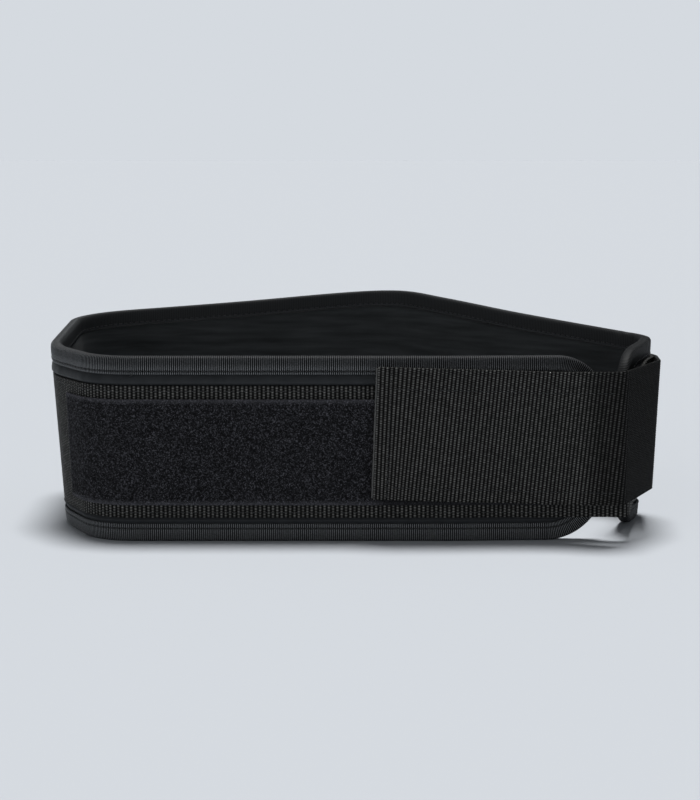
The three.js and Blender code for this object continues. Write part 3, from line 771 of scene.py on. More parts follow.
def brushed_loop(colours):
    """Brushed loop tape: a matt dark tangle with painted glints on the loops' tops and a paler flat border,
    both under a painted shadow where the strap lies over it."""
    material, tree, surface = new_material("brushed_loop", 0.85, 0.08)
    cloth = add_node(tree, "UVMap", uv_map="Cloth").outputs["UV"]
    weave = add_node(tree, "UVMap", uv_map="Weave").outputs["UV"]
    inwards = add_node(tree, "SeparateXYZ", links=[("Vector", weave)])
    border = add_node(tree, "MapRange", [
        ("From Min", 0.8), ("From Max", 3.0), ("To Min", 0.5), ("To Max", 0)],
        [("Value", inwards.outputs["X"])])
    tufts = add_node(tree, "TexVoronoi", [("Scale", 1.8)], [("Vector", cloth)])
    own = add_node(tree, "SeparateColor", links=[("Color", tufts.outputs["Color"])])
    # Painted glints: a few tufts lit where the tangle stands highest
    few = add_node(tree, "Math", [(1, 4)], [(0, own.outputs["Red"])], operation="POWER")
    tangle = add_node(tree, "TexNoise", [("Scale", 1.2), ("Detail", 4)], [("Vector", cloth)])
    lit = add_node(tree, "Math", links=[(0, few.outputs[0]), (1, tangle.outputs["Fac"])],
                   operation="MULTIPLY")
    ragged = add_node(tree, "Math", operation="MULTIPLY", links=[
        (0, border.outputs["Result"]), (1, tangle.outputs["Fac"])])
    both = add_node(tree, "Math", links=[(0, lit.outputs[0]), (1, ragged.outputs[0])],
                    operation="ADD")
    along = add_node(tree, "SeparateXYZ", links=[("Vector", cloth)])
    # Painted shadow of the strap over the tape in its first 124 to 134 mm
    strap_shadow = add_node(tree, "MapRange", [
        ("From Min", 124), ("From Max", 134), ("To Min", 0.25), ("To Max", 1)],
        [("Value", along.outputs["X"])])
    left_light = add_node(tree, "Math", operation="MULTIPLY", links=[
        (0, both.outputs[0]), (1, strap_shadow.outputs["Result"])])
    tint = add_node(tree, "Mix",
                    [(MIX_A, shade(colours.pile, 0.55)), (MIX_B, shade(colours.pile, 17.0))],
                    [("Factor", left_light.outputs[0])], data_type="RGBA")
    bump = add_node(tree, "Bump", [("Strength", 0.7), ("Distance", 0.0005)],
                    [("Height", tangle.outputs["Fac"])])
    dress(tree, surface, tint, bump)
    return material


def loop_filament(colours):
    """Crimped nylon filament of the loops that stand up from the pile: a thin line of soft shine."""
    material, tree, surface = new_material("loop_filament", 0.5, 0.3)
    place = add_node(tree, "TexCoord").outputs["Object"]
    change = add_node(tree, "TexNoise", [("Scale", 500), ("Detail", 1)], [("Vector", place)])
    tint = add_node(tree, "Mix",
                    [(MIX_A, shade(colours.pile, 1.0)), (MIX_B, shade(colours.pile, 9.0))],
                    [("Factor", change.outputs["Fac"])], data_type="RGBA")
    tree.links.new(tint.outputs[MIX_OUT], surface.inputs["Base Color"])
    return material


def grained(name, roughness, specular, colour, factors, scale, detail, strength, distance, metallic=0.0):
    """A material grained over the object by one noise, in its colour and in its relief."""
    material, tree, surface = new_material(name, roughness, specular, metallic=metallic)
    place = add_node(tree, "TexCoord").outputs["Object"]
    grain = add_node(tree, "TexNoise", [("Scale", scale), ("Detail", detail)],
                     [("Vector", place)]).outputs["Fac"]
    tint = add_node(tree, "Mix",
                    [(MIX_A, shade(colour, factors[0])), (MIX_B, shade(colour, factors[1]))],
                    [("Factor", grain)], data_type="RGBA")
    bump = add_node(tree, "Bump", [("Strength", strength), ("Distance", distance)],
                    [("Height", grain)])
    dress(tree, surface, tint, bump)
    return material


def moulded_hooks(colours):
    """Moulded nylon hook tape: a slightly glossy black field, its face grained about 1 mm across."""
    return grained("moulded_hooks", 0.4, 0.3, colours.hooks, (0.8, 1.2), 900, 2, 0.3, 0.0001)


def spun_thread(colours):
    """Bonded polyester sewing thread: twisted every half millimetre, shinier than the tape that it holds."""
    return grained("spun_thread", 0.42, 0.3, colours.thread, (0.3, 1.0), 1800, 1, 0.4, 0.00006)


def fused_nylon(colours):
    """Webbing's cut end, melted so that it can't fray: a lumpy paler line with a plastic shine."""
    return grained("fused_nylon", 0.38, 0.4, colours.webbing, (1.0, 5.0), 600, 2, 0.5, 0.0002)


def drawn_steel(colours):
    """Drawn steel wire with a plated finish: bright, with faint scratches 2 mm apart."""
    return grained("drawn_steel", 0.28, 0.5, colours.steel, (0.85, 1.1), 500, 4, 0.3, 0.00002, 1.0)


def studio_floor(colours):
    """Matt painted studio floor: pale, even and without shine."""
    material, _, surface = new_material("studio_floor", 0.9, 0.0)
    surface.inputs["Base Color"].default_value = shade(colours.floor, 1.0)
    return material


# Settings that a user would change

def colour_setting(name, description, code):
    return bpy.props.FloatVectorProperty(
        name=name, description=description, subtype="COLOR", size=3, min=0, max=1, default=linear(code))


def length_setting(name, description, default):
    return bpy.props.FloatProperty(
        name=name, description=description, default=default, subtype="DISTANCE", unit="LENGTH", precision=5)


class BeltColours(bpy.types.PropertyGroup):
    shell: colour_setting("Shell", "Smooth nylon shell of the padded body", "#2C2E30")
    lining: colour_setting("Lining", "Knit cloth on the inner face", "#2F3132")
    binding: colour_setting("Binding", "Ribbed tape folded over the edges", "#2A2B2C")
    webbing: colour_setting("Webbing", "Wide band and closing strap", "#272726")
    pile: colour_setting("Loop tape", "Brushed loop field on the front", "#161618")
    hooks: colour_setting("Hook tape", "Hook field under the strap", "#101012")
    thread: colour_setting("Thread", "Sewing thread", "#2B2D2F")
    steel: colour_setting("Ring", "Plated steel ring", "#A6A8AB")
    floor: colour_setting("Floor", "Studio floor", "#C2C6CB")


class BeltSizes(bpy.types.PropertyGroup):
    webbing_rib: length_setting("Webbing rib", "Distance between ribs of the webbing", 0.0022)
    webbing_bead: length_setting("Webbing bead", "Distance between beads along a rib", 0.00133)
    webbing_relief: length_setting("Webbing relief", "Height of the webbing's beads", 0.0006)
    binding_rib: length_setting("Binding rib", "Distance between ribs of the edge tape", 0.00116)
    binding_relief: length_setting("Binding relief", "Height of the edge tape's ribs", 0.00018)
    puff: length_setting("Puff", "How far the shell swells beside the band", 0.0021)
    pile_height: length_setting("Pile height", "Depth of the loop pile", 0.0009)
    stitch: length_setting("Stitch", "Length of one stitch with the gap after it", 0.0036)
    thread: length_setting("Thread", "Diameter of the sewing thread", 0.00055)


def settings():
    return bpy.context.scene.belt_sizes, bpy.context.scene.belt_colours


# Pieces

class BELT_OT_padded_shell(bpy.types.Operator):
    """Make the foam-padded body: a smooth shell that is pinched at its edges and swells beside the band"""

    bl_idname = "belt.padded_shell"
    bl_label = "Padded body"

    def execute(self, context):
        sizes, colours = settings()
        marks = np.concatenate([np.linspace(SHELL_EDGE, 34, 40), np.arange(35.0, LENGTH - 34.5, 1.6),
                                np.linspace(LENGTH - 34, LENGTH - SHELL_EDGE, 40)])
        s = marks[:, None]
        low = inset_at(s, SHELL_EDGE, LOWER_CORNER)
        high = wall_height(s) - inset_at(s, SHELL_EDGE, UPPER_CORNER)
        low_tape = inset_at(s, TAPE_REACH, LOWER_CORNER)
        high_tape = wall_height(s) - inset_at(s, TAPE_REACH, UPPER_CORNER)
        is_free = smooth((np.minimum(s, LENGTH - s) - TAPE_REACH) / 3.0)
        middle_of_wall = (low + high) / 2
        low_tape = np.minimum(low_tape, middle_of_wall - 1)
        high_tape = np.maximum(high_tape, middle_of_wall + 1)
        band_reach = BAND_WIDTH / 2 + CLEAR
        low_band = np.clip(band_middle(s) - band_reach, low_tape + 0.9, middle_of_wall - 0.3)
        high_band = np.clip(band_middle(s) + band_reach, middle_of_wall + 0.3, high_tape - 0.9)
        share = np.linspace(0, 1, 11)[None, :]
        puff_shape = (1 - (2 * share - 1) ** 2) ** 0.75

        def strip(start, end, seed, is_flipped):
            room = np.maximum(end - start - 2.5, 0)
            swell = sizes.puff / MM * room / (room + 3.3) * is_free
            v = start + (end - start) * share
            pucker = soft_noise(s / 6.5 + v * 0.12, v / 9, seed) + 0.6 * soft_noise(s / 2.7, v / 5, seed + 7)
            level = -SHELL_EDGE * is_free * (share if is_flipped else 1 - share) - SHELL_EDGE * (1 - is_free)
            to_band = v - start if is_flipped else end - v
            groove = GROOVE_DEPTH * is_free * (1 - smooth(to_band / GROOVE_WIDTH))
            w = level + (swell * (1 + 0.16 * pucker) + 0.1 * is_free * pucker) * puff_shape - groove
            return w, v

        low_w, low_v = strip(low_tape, low_band, 3, False)
        high_w, high_v = strip(high_band, high_tape, 5, True)
        sunk = -seat(s) * is_free - SHELL_EDGE * (1 - is_free)
        ones = np.ones_like(s)
        w = np.hstack([-SHELL_EDGE * ones, low_w, sunk, sunk, sunk, high_w, -SHELL_EDGE * ones,
                       -CORE * ones, -CORE * ones, -CORE * ones])
        v = np.hstack([low, low_v, low_band + 0.3, (low_band + high_band) / 2, high_band - 0.3, high_v, high,
                       high, (low + high) / 2, low])
        points = on_wall(np.broadcast_to(s, w.shape), w, v)
        uv = np.stack([np.broadcast_to(s, w.shape), v], axis=-1)
        piece = cloth_object("padded_shell", points, uv)
        settle(piece, woven_nylon_shell(colours), "shell_cloth", "padded_body")
        return {"FINISHED"}


class BELT_OT_inner_lining(bpy.types.Operator):
    """Make the smooth cloth on the inner face, with the faint lengthwise creases of a rolled belt"""

    bl_idname = "belt.inner_lining"
    bl_label = "Lining"

    def execute(self, context):
        _, colours = settings()
        marks = np.concatenate([np.linspace(TAPE_REACH, 34, 20), np.arange(36.0, LENGTH - 35, 2.0),
                                np.linspace(LENGTH - 34, LENGTH - TAPE_REACH, 20)])
        s = marks[:, None]
        low = inset_at(s, TAPE_REACH, LOWER_CORNER)
        high = wall_height(s) - inset_at(s, TAPE_REACH, UPPER_CORNER)
        share = np.linspace(0, 1, 41)[None, :]
        v = low + (high - low) * share
        crease = soft_noise(s / 160, share * 7, 11) + 0.5 * soft_noise(s / 60, share * 13, 12)
        held = smooth(share / 0.06) * smooth((1 - share) / 0.06)
        near = -(CORE + CLEAR) * np.ones_like(v)
        far = near - LINING + 0.4 * crease * held
        points = np.concatenate([
            on_wall(np.broadcast_to(s, v.shape), near, v)[:, ::40],
            on_wall(np.broadcast_to(s, v.shape), far, v)[:, ::-1],
        ], axis=1)
        v_all = np.concatenate([v[:, ::40], v[:, ::-1]], axis=1)
        uv = np.stack([np.broadcast_to(s, v_all.shape), v_all], axis=-1)
        piece = cloth_object("inner_lining_cloth", points, uv)
        settle(piece, knit_lining(colours), "lining_cloth", "inner_lining")
        return {"FINISHED"}


# Section of the folded edge tape: inwards from the panel's edge, and outwards from its outer face
BINDING_SECTION = (
    (10.0, -0.9), (10.1, -0.25), (9.4, 0.0), (8.7, -0.02), (8.0, -0.22), (7.3, -0.02), (5.6, 0.05),
    (4.0, 0.02), (2.4, -0.05), (1.2, -0.3), (0.4, -0.9), (0.05, -1.8), (0.0, -3.4), (0.05, -5.0),
    (0.4, -5.9), (1.2, -6.5), (2.4, -6.75), (5.6, -6.8), (8.0, -6.6), (9.4, -6.75), (10.0, -5.8),
    (1.2, -5.7), (1.2, -1.1),
)


class BELT_OT_edge_binding(bpy.types.Operator):
    """Make the ribbed tape that is folded over both long edges and round the ends"""

    bl_idname = "belt.edge_binding"
    bl_label = "Edge binding"

    def execute(self, context):
        sizes, colours = settings()
        places = outline_places(sizes.binding_rib / MM / 2)
        section = np.array(BINDING_SECTION)
        count = len(places) - len(places) % 2
        places = places[:count]
        ribs = np.where(np.arange(count) % 2 == 0, 1.0, -1.0)[:, None] * sizes.binding_relief / MM / 2
        shows = np.where(section[:, 1] < -5.0, 0.4, 1.0)
        shows[-3:] = 0
        shows[0] = 0
        out = np.column_stack([-np.gradient(section[:, 1]), np.gradient(section[:, 0])])
        out /= np.linalg.norm(out, axis=1, keepdims=True)
        outward = out * np.where((section[:, 1] + BINDING_MIDDLE)[:, None] * out[:, 1:2]
                                 + (4.0 - section[:, 0])[:, None] * -out[:, 0:1] >= 0, 1, -1)
        inwards = section[:, 0][None, :] + ribs * shows * outward[:, 0][None, :]
        w = section[:, 1][None, :] + ribs * shows * outward[:, 1][None, :]
        lift = 0.12 * soft_noise(places[:, :1] / 18, section[:, :1].T / 4, 21)
        past_start = smooth((places[:, :1] - BEND_START + 14) / 10)
        at_bend = past_start * smooth((BEND_END + 14 - places[:, :1]) / 10)
        lift = lift + 0.5 * at_bend * soft_noise(places[:, :1] / 3.5, section[:, :1].T / 5, 23)
        inwards = np.maximum(inwards, 0.0)
        points = on_outline(places, inwards, w + lift * np.where(shows > 0, 1, 0))
        steps = np.linalg.norm(np.diff(points[:, 12], axis=0), axis=1)
        along = np.concatenate([[0.0], np.cumsum(steps)])[:, None]
        folds = np.cumsum(np.linalg.norm(np.diff(section, axis=0, prepend=section[:1]), axis=1))[None, :]
        uv = np.stack(np.broadcast_arrays(along, folds), axis=-1)
        ribs_counted = np.arange(count)[:, None] / 2
        is_inner = section[None, :, 1] < -BINDING_MIDDLE
        from_edge = section[None, :, 0] * SEAM_MARK / sewn_inset(places)
        from_fold = np.where(is_inner, -from_edge, from_edge)
        weave = np.stack(np.broadcast_arrays(ribs_counted, from_fold), axis=-1)
        piece = cloth_object("edge_tape", points, uv, weave, closed_rows=True)
        settle(piece, ribbed_binding(colours), "binding_tape", "edge_binding")
        return {"FINISHED"}


BAND_PATH = Line(band_line(), 1)
STRAP_PATH = Line(band_line()[-1:] + strap_line(), -1)
STRAP_END = STRAP_PATH.length - 0.5


def strap_lean(distance):
    """Degrees by which the strap's ribs lean, less at its cut end and none behind the crease."""
    to_end = STRAP_END - distance
    return (TAIL_LEAN + (RIB_LEAN - TAIL_LEAN) * smooth(to_end / 25)) * smooth((220 - to_end) / 80)


def strap_turn_shade(distance):
    """Painted shade on the strap where it turns away from the light: from 113 mm behind its cut end, and most
    behind the crease.
    """
    to_end = STRAP_END - distance
    return 0.6 * smooth((to_end - 113) / 16) + 0.4 * smooth((to_end - 136) / 8)


class BELT_OT_webbing(bpy.types.Operator):
    """Make the band that is sewn round the body and the closing strap, both of one coarse-woven webbing"""

    bl_idname = "belt.webbing"
    bl_label = "Webbing"

    def execute(self, context):
        sizes, colours = settings()
        material = nylon_webbing(colours)
        rib, bead, relief = (x / MM for x in (sizes.webbing_rib, sizes.webbing_bead, sizes.webbing_relief))
        band = woven("sewn_band", BAND_PATH, BAND_PATH.length, rib * 1.1, bead * 1.18, relief,
                     np.zeros_like, np.zeros_like)
        settle(band, material, "webbing", "webbing_band")
        strap = woven("closing_strap", STRAP_PATH, STRAP_END, rib, bead, relief, strap_lean, strap_turn_shade)
        settle(strap, material, "webbing", "webbing_band")
        across = np.arange(-36.6, 36.7, 0.6)[:, None]
        turns = np.radians(np.arange(0, 360, 45))[None, :]
        melted = 1 + 0.25 * soft_noise(across / 1.2, turns, 41)
        lean = math.tan(math.radians(TAIL_LEAN))
        distance = STRAP_END - lean * across + 0.55 * np.cos(turns) * melted
        wide = np.broadcast_to(across, distance.shape)
        points = STRAP_PATH.place(distance, wide, 1.02 * np.sin(turns) * melted)
        uv = np.stack([distance, wide], axis=-1)
        settle(cloth_object("sealed_strap_end", points, uv), fused_nylon(colours), "webbing")
        return {"FINISHED"}


class BELT_OT_loop_tape(bpy.types.Operator):
    """Make the field of brushed loop tape on the front, with a low uneven pile"""

    bl_idname = "belt.loop_tape"
    bl_label = "Loop tape"

    def execute(self, context):
        sizes, colours = settings()
        marks = np.arange(PILE_START, PILE_START + PILE_LENGTH, 0.8)
        s = marks[:, None]
        across = np.arange(-PILE_WIDTH / 2, PILE_WIDTH / 2 + 0.01, 0.8)[None, :]
        level = CLEAR + BAND + CLEAR - seat(s)
        from_edge = np.minimum(PILE_WIDTH / 2 - np.abs(across), np.minimum(s - marks[0], marks[-1] - s))
        pile = 0.55 + 0.45 * smooth(from_edge / 3.0)
        rough = soft_noise(s / 1.3, across / 1.3, 31) + 0.7 * soft_noise(s / 0.8 + 9, across / 0.8, 32)
        rough = rough + 0.5 * soft_noise(s / 9, across / 7, 33)
        depth = sizes.pile_height / MM
        top = level + PILE * pile + 0.28 * depth * rough * smooth(from_edge / 1.5)
        v = band_middle(s) + across
        outer = on_wall(np.broadcast_to(s, top.shape), top, v)
        inner = on_wall(np.broadcast_to(s, v.shape), np.broadcast_to(level, v.shape), v)
        points = np.concatenate([outer, inner[:, ::-1]], axis=1)
        v_all = np.concatenate([v, v[:, ::-1]], axis=1)
        uv = np.stack([np.broadcast_to(s, v_all.shape), v_all], axis=-1)
        inwards = np.concatenate([from_edge, from_edge[:, ::-1]], axis=1)
        weave = np.stack([inwards, np.zeros_like(inwards)], axis=-1)
        piece = cloth_object("loop_tape_field", points, uv, weave)
        settle(piece, brushed_loop(colours), "loop_tape", "loop_panel")
        self.standing_loops(colours)
        return {"FINISHED"}

    @staticmethod
    def standing_loops(colours):
        """Thousands of small arcs of filament over the field, each a thin closed tube."""
        chance = np.random.default_rng(7)
        count = LOOSE_LOOPS
        base_s = PILE_START + 1 + (PILE_LENGTH - 2) * chance.random(count)
        base_v = (PILE_WIDTH - 2) * (chance.random(count) - 0.5)
        heading = 2 * math.pi * chance.random(count)
        span = 0.9 + 1.5 * chance.random(count)
        rise = 0.25 + 0.55 * chance.random(count) ** 2
        t = np.linspace(0, 1, 5)
        turns = np.radians([90.0, 210.0, 330.0])
        along = (t - 0.5)[None, :, None] * span[:, None, None]
        side = FILAMENT / 2 * np.cos(turns)[None, None, :]
        cos, sin = np.cos(heading)[:, None, None], np.sin(heading)[:, None, None]
        s = base_s[:, None, None] + along * cos - side * sin
        v = base_v[:, None, None] + along * sin + side * cos
        bow = rise[:, None, None] * np.sin(math.pi * t)[None, :, None]
        w = CLEAR + BAND + CLEAR + PILE * 0.8 + bow + FILAMENT / 2 * np.sin(turns)[None, None, :] - seat(s)
        points = on_wall(s, w, band_middle(s) + v).reshape(-1, 3)
        tube = []
        for ring in range(4):
            for k in range(3):
                nearby = (k + 1) % 3
                tube.append((ring * 3 + k, ring * 3 + nearby, ring * 3 + 3 + nearby, ring * 3 + 3 + k))
        faces = [[15 * i + a for a in quad] for i in range(count) for quad in tube]
        faces += [[15 * i + a for a in cap] for i in range(count) for cap in ((2, 1, 0), (12, 13, 14))]
        mesh = bpy.data.meshes.new("loop_tape_pile")
        mesh.from_pydata((points * MM).tolist(), [], faces)
        mesh.shade_smooth()
        piece = bpy.data.objects.new("loop_tape_pile", mesh)
        bpy.context.scene.collection.objects.link(piece)
        settle(piece, loop_filament(colours), "loop_tape")


class BELT_OT_hook_tape(bpy.types.Operator):
    """Make the hook tape on the strap's inner face, a thin tape with rows of small hooks"""

    bl_idname = "belt.hook_tape"
    bl_label = "Hook tape"

    def execute(self, context):
        _, colours = settings()
        start = STRAP_PATH.length - HOOK_SETBACK - HOOK_LENGTH
        marks = np.arange(start, start + HOOK_LENGTH, 0.9)
        across = np.arange(-30.0, 30.01, 0.9)
        i = np.arange(len(marks))[:, None]
        j = np.arange(len(across))[None, :]
        hooks = np.where((i % 2 == 1) & (j % 2 == 1), 0.45, 0.0)
        back = -(BAND / 2 + CLEAR) * np.ones(hooks.shape)
        face = back - HOOK + 0.5 - hooks
        distance = np.broadcast_to(marks[:, None], hooks.shape)
        wide = np.broadcast_to(across[None, :], hooks.shape)
        outer = STRAP_PATH.place(distance, wide, back)
        inner = STRAP_PATH.place(distance, wide, face)
        points = np.concatenate([outer, inner[:, ::-1]], axis=1)
        uv = np.stack([np.concatenate([distance, distance], axis=1),
                       np.concatenate([wide, wide[:, ::-1]], axis=1)], axis=-1)
        piece = cloth_object("hook_tape_field", points, uv)
        settle(piece, moulded_hooks(colours), "hook_tape", "hook_patch")
        return {"FINISHED"}


class BELT_OT_strap_ring(bpy.types.Operator):
    """Make the metal ring that the strap turns back through, a round wire bent into a rounded rectangle"""

    bl_idname = "belt.strap_ring"
    bl_label = "Strap ring"

    def execute(self, context):
        _, colours = settings()
        spot = (NEAR_BAR + FAR_BAR) / 2
        up = Vector(look_up(UP, spot))
        out = Vector(look_up(OUT, spot))
        along = out.cross(up)
        centre = Vector(on_wall(spot, RING_LEVEL, float(band_middle(spot)))) * MM
        toward = Vector(on_wall(NEAR_BAR, RING_LEVEL, float(band_middle(spot)))) * MM - centre
        if along.dot(toward) < 0:
            along = -along
        half_tall = BAND_WIDTH / 2 * MM
        half_wide = ((NEAR_BAR - FAR_BAR) / 2 - RING_CORNER) * MM
        bend = RING_CORNER * MM
        deselect()
        bpy.ops.mesh.primitive_circle_add(vertices=16, radius=RING_WIRE / 2 * MM)
        piece = context.object
        piece.name = "strap_ring_wire"
        piece.data.name = "strap_ring_wire"
        piece.rotation_mode = "QUATERNION"
        piece.rotation_quaternion = up.to_track_quat("Z", "Y")
        piece.location = centre + along * (half_wide + bend) - up * half_tall
        bpy.ops.object.transform_apply(location=True, rotation=True, scale=True)
        bpy.ops.object.mode_set(mode="EDIT")
        bpy.ops.mesh.select_all(action="SELECT")
        sides = (
            (up, half_tall, along * half_wide + up * half_tall),
            (-along, half_wide, -along * half_wide + up * half_tall),
            (-up, half_tall, -along * half_wide - up * half_tall),
            (along, half_wide, along * half_wide - up * half_tall),
        )
        for direction, half, corner in sides:
            bpy.ops.mesh.extrude_region_move(
                TRANSFORM_OT_translate={"value": direction * half * 2})
            bpy.ops.mesh.spin(steps=6, angle=math.radians(90), center=centre + corner, axis=out)
        bpy.ops.mesh.select_all(action="SELECT")
        bpy.ops.mesh.remove_doubles(threshold=0.00005)
        bpy.ops.mesh.normals_make_consistent(inside=False)
        bpy.ops.object.mode_set(mode="OBJECT")
        bpy.ops.object.shade_smooth()
        settle(piece, drawn_steel(colours), "ring_steel", "strap_ring")
        return {"FINISHED"}


def stitch_template():
    """One stitch: a short bent bar of thread of unit length along X, made once and copied."""
    deselect()
    bpy.ops.mesh.primitive_cylinder_add(vertices=6, radius=0.5, depth=1.0, rotation=(0, math.pi / 2, 0))
    template = bpy.context.object
    bpy.ops.object.transform_apply(location=True, rotation=True, scale=True)
    bpy.ops.object.mode_set(mode="EDIT")
    bpy.ops.mesh.select_all(action="SELECT")
    bpy.ops.mesh.bisect(plane_co=(0.28, 0, 0), plane_no=(1, 0, 0))
    bpy.ops.mesh.select_all(action="SELECT")
    bpy.ops.mesh.bisect(plane_co=(-0.28, 0, 0), plane_no=(1, 0, 0))
    bpy.ops.mesh.select_all(action="SELECT")
    bpy.ops.mesh.normals_make_consistent(inside=False)
    bpy.ops.object.mode_set(mode="OBJECT")
    points = np.array([tuple(v.co) for v in template.data.vertices])
    faces = [tuple(p.vertices) for p in template.data.polygons]
    bpy.data.objects.remove(template, do_unlink=True)
    ends = np.abs(points[:, 0]) > 0.4
    points[:, 2] -= np.where(ends, 0.55, 0.0)
    points[ends, 1] *= 0.6
    return points, faces


def sewn_rows(name, rows, diameter, material, slot):
    """Copies of the stitch along rows; a row is a list of (start, end, outward direction) in mm."""
    points, faces = stitch_template()
    all_points, all_faces = [], []
    for start, end, out in rows:
        along = end - start
        length = np.linalg.norm(along)
        along = along / length
        side = np.cross(out, along)
        side /= np.linalg.norm(side)
        up = np.cross(along, side)
        middle_point = (start + end) / 2
        base = len(all_points) * len(points)
        made = (middle_point + points[:, :1] * along * length + points[:, 1:2] * side * diameter
                + points[:, 2:3] * up * diameter)
        all_points.append(made)
        all_faces.extend([[base + i for i in face] for face in faces])
    mesh = bpy.data.meshes.new(name)
    mesh.from_pydata((np.concatenate(all_points) * MM).tolist(), [], all_faces)
    mesh.shade_smooth()
    piece = bpy.data.objects.new(name, mesh)
    bpy.context.scene.collection.objects.link(piece)
    return settle(piece, material, slot)


def row_from(points, outs, pitch, fill):
    """Stitches of a fixed pitch along a polyline, each filling a share of the pitch."""
    steps = np.linalg.norm(np.diff(points, axis=0), axis=1)
    marks = np.concatenate([[0.0], np.cumsum(steps)])
    count = int(marks[-1] / pitch)
    starts = np.arange(count) * marks[-1] / count

    def read(table, at):
        return np.stack([np.interp(at, marks, table[:, k]) for k in range(3)], axis=-1)

    a, b, o = read(points, starts), read(points, starts + pitch * fill), read(outs, starts)
    return list(zip(a, b, o))


class BELT_OT_stitching(bpy.types.Operator):
    """Make the sewing: rows on both faces of the edge tape, along the band and loop tape, and on the tail"""

    bl_idname = "belt.stitching"
    bl_label = "Stitching"

    def execute(self, context):
        sizes, colours = settings()
        thread = spun_thread(colours)
        pitch = sizes.stitch / MM
        diameter = sizes.thread / MM
        places = outline_places(2.0)
        outs = look_up(OUT, places[:, 0])
        outer = on_outline(places, sewn_inset(places), 0.05)[:, 0]
        inner = on_outline(places, sewn_inset(places), -6.7)[:, 0]
        rows = row_from(outer, outs, pitch, STITCH_FILL) + row_from(inner, -outs, pitch, STITCH_FILL)
        loose_from, loose_to = on_wall(LOOSE_END, -0.4, 93.6), on_wall(LOOSE_END - 1.8, 0.9, 94.8)
        rows.append((loose_from, loose_to, look_up(OUT, LOOSE_END)))
        sewn_rows("binding_stitches", rows, diameter, thread, "binding_tape")
        s = np.arange(14.0, FAR_BAR - FLAP - 8, 2.0)
        level = CLEAR + BAND - seat(s) - 0.3
        rows = []
        for side in (-1, 1):
            line = on_wall(s, level, band_middle(s) + side * BAND_SEAM)
            rows += row_from(line, look_up(OUT, s), pitch, STITCH_FILL)
        sewn_rows("band_stitches", rows, diameter, thread, "webbing")
        rows = []
        near = PILE_START + PILE_END_SEAM
        far = PILE_START + PILE_LENGTH - PILE_END_SEAM
        s = np.arange(near, far, 2.0)
        for side in (-1, 1):
            line = on_wall(s, CLEAR + BAND + CLEAR + 0.9 - seat(s), band_middle(s) + side * PILE_SEAM)
            rows += row_from(line, look_up(OUT, s), pitch, 0.7)
        for end in (near, far):
            v = np.arange(-PILE_SEAM, PILE_SEAM + 0.1, 2.0)
            line = on_wall(end, CLEAR + BAND + CLEAR + 0.9 - seat(end), band_middle(end) + v)
            rows += row_from(line, np.repeat(look_up(OUT, end)[None], len(v), axis=0), pitch, 0.7)
        sewn_rows("loop_tape_stitches", rows, diameter * 0.9, thread, "loop_tape")
        rows = []
        end = STRAP_END - TAIL_END_SEAM
        off = BAND / 2 - 0.25
        for across in TAIL_SEAMS:
            d = np.arange(end - HOOK_LENGTH, end, 1.5)
            line = STRAP_PATH.place(d, np.full(len(d), across), np.full(len(d), off))
            rows += row_from(line, STRAP_PATH.read(STRAP_PATH.face, d), pitch, STITCH_FILL)
        across = np.arange(-36.0, 36.1, 1.5)
        d = end - math.tan(math.radians(TAIL_LEAN)) * across
        line = STRAP_PATH.place(d, across, np.full(len(across), off))
        rows += row_from(line, STRAP_PATH.read(STRAP_PATH.face, d), pitch, STITCH_FILL)
        sewn_rows("tail_stitches", rows, diameter, thread, "webbing")
        return {"FINISHED"}


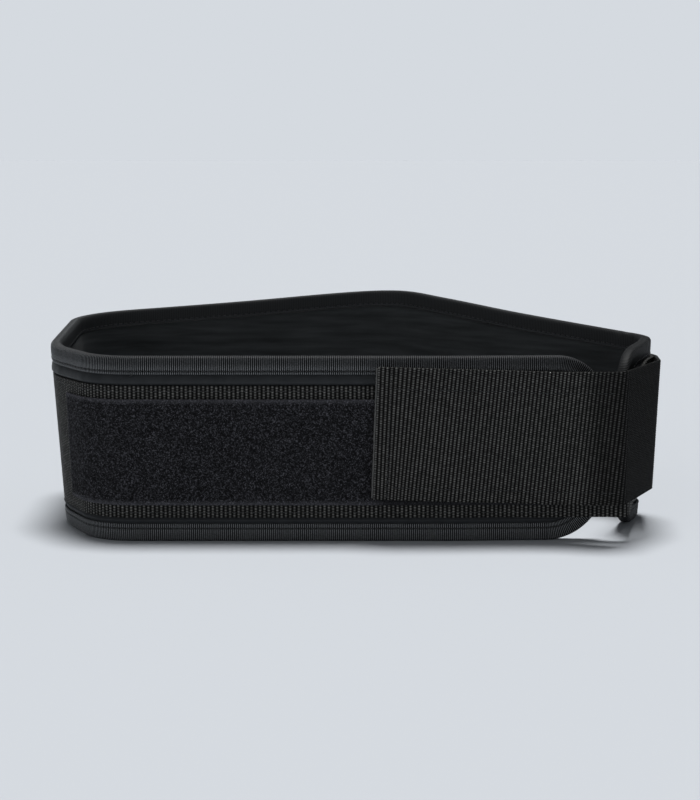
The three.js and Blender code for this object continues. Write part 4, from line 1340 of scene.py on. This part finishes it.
class BELT_OT_stage(bpy.types.Operator):
    """Make the pale floor, the soft studio lights and the camera"""

    bl_idname = "belt.stage"
    bl_label = "Stage"

    def execute(self, context):
        _, colours = settings()
        deselect()
        bpy.ops.mesh.primitive_plane_add(size=80.0, location=(0, 0, 0))
        floor = context.object
        floor.name = "studio_floor"
        floor.data.materials.append(studio_floor(colours))
        self.lamp("key_light", (0.04, 0.18, 1.0), 20.0, 3.5)
        self.lamp("front_fill", (-0.5, -1.0, 0.32), 60.0, 0.6)
        world = bpy.data.worlds.new("pale_studio")
        world.use_nodes = True
        tree = world.node_tree
        background = tree.nodes["Background"]
        background.inputs["Color"].default_value = (*linear("#D5DAE0"), 1)
        way = add_node(tree, "TexCoord").outputs["Generated"]
        height = add_node(tree, "SeparateXYZ", links=[("Vector", way)])
        dim = add_node(tree, "MapRange", [
            ("From Min", 0.1), ("From Max", 0.25), ("To Min", 1), ("To Max", 0.12)],
            [("Value", height.outputs["Z"])])
        tree.links.new(dim.outputs["Result"], background.inputs["Strength"])
        context.scene.world = world
        context.scene.view_settings.view_transform = "Standard"
        camera = bpy.data.objects.new("photo_camera", bpy.data.cameras.new("photo_camera"))
        context.scene.collection.objects.link(camera)
        camera.data.lens = CAMERA_LENS
        camera.data.sensor_width = 36.0
        camera.data.clip_end = 50.0
        camera.location = CAMERA_AT
        camera.rotation_euler = (math.radians(90 - CAMERA_PITCH), 0, 0)
        context.scene.camera = camera
        return {"FINISHED"}

    @staticmethod
    def lamp(name, place, spread, power):
        """A soft light from far away, as even over the floor as over the belt; spread is in degrees."""
        data = bpy.data.lights.new(name, "SUN")
        data.angle = math.radians(spread)
        data.energy = power
        lamp = bpy.data.objects.new(name, data)
        bpy.context.scene.collection.objects.link(lamp)
        lamp.location = place
        lamp.rotation_mode = "QUATERNION"
        lamp.rotation_quaternion = (Vector((0, 0, 0.06)) - Vector(place)).to_track_quat("-Z", "Y")


PIECES = (
    BELT_OT_stage, BELT_OT_padded_shell, BELT_OT_inner_lining, BELT_OT_edge_binding, BELT_OT_webbing,
    BELT_OT_loop_tape, BELT_OT_hook_tape, BELT_OT_strap_ring, BELT_OT_stitching,
)


class BELT_PT_pieces(bpy.types.Panel):
    """Lists the belt's pieces and their settings"""

    bl_idname = "BELT_PT_pieces"
    bl_label = "Weightlifting belt"
    bl_space_type = "VIEW_3D"
    bl_region_type = "UI"
    bl_category = "Belt"

    def draw(self, context):
        for piece in PIECES:
            self.layout.operator(piece.bl_idname)
        for group in (context.scene.belt_sizes, context.scene.belt_colours):
            for name in group.__annotations__:
                self.layout.prop(group, name)


CLASSES = (BeltColours, BeltSizes, *PIECES, BELT_PT_pieces)


def register():
    for made in CLASSES:
        bpy.utils.register_class(made)
    bpy.types.Scene.belt_colours = bpy.props.PointerProperty(type=BeltColours)
    bpy.types.Scene.belt_sizes = bpy.props.PointerProperty(type=BeltSizes)


def unregister():
    del bpy.types.Scene.belt_sizes
    del bpy.types.Scene.belt_colours
    for made in reversed(CLASSES):
        bpy.utils.unregister_class(made)


def main():
    register()
    for piece in PIECES:
        group, name = piece.bl_idname.split(".")
        getattr(getattr(bpy.ops, group), name)()


if __name__ == "__main__":
    main()
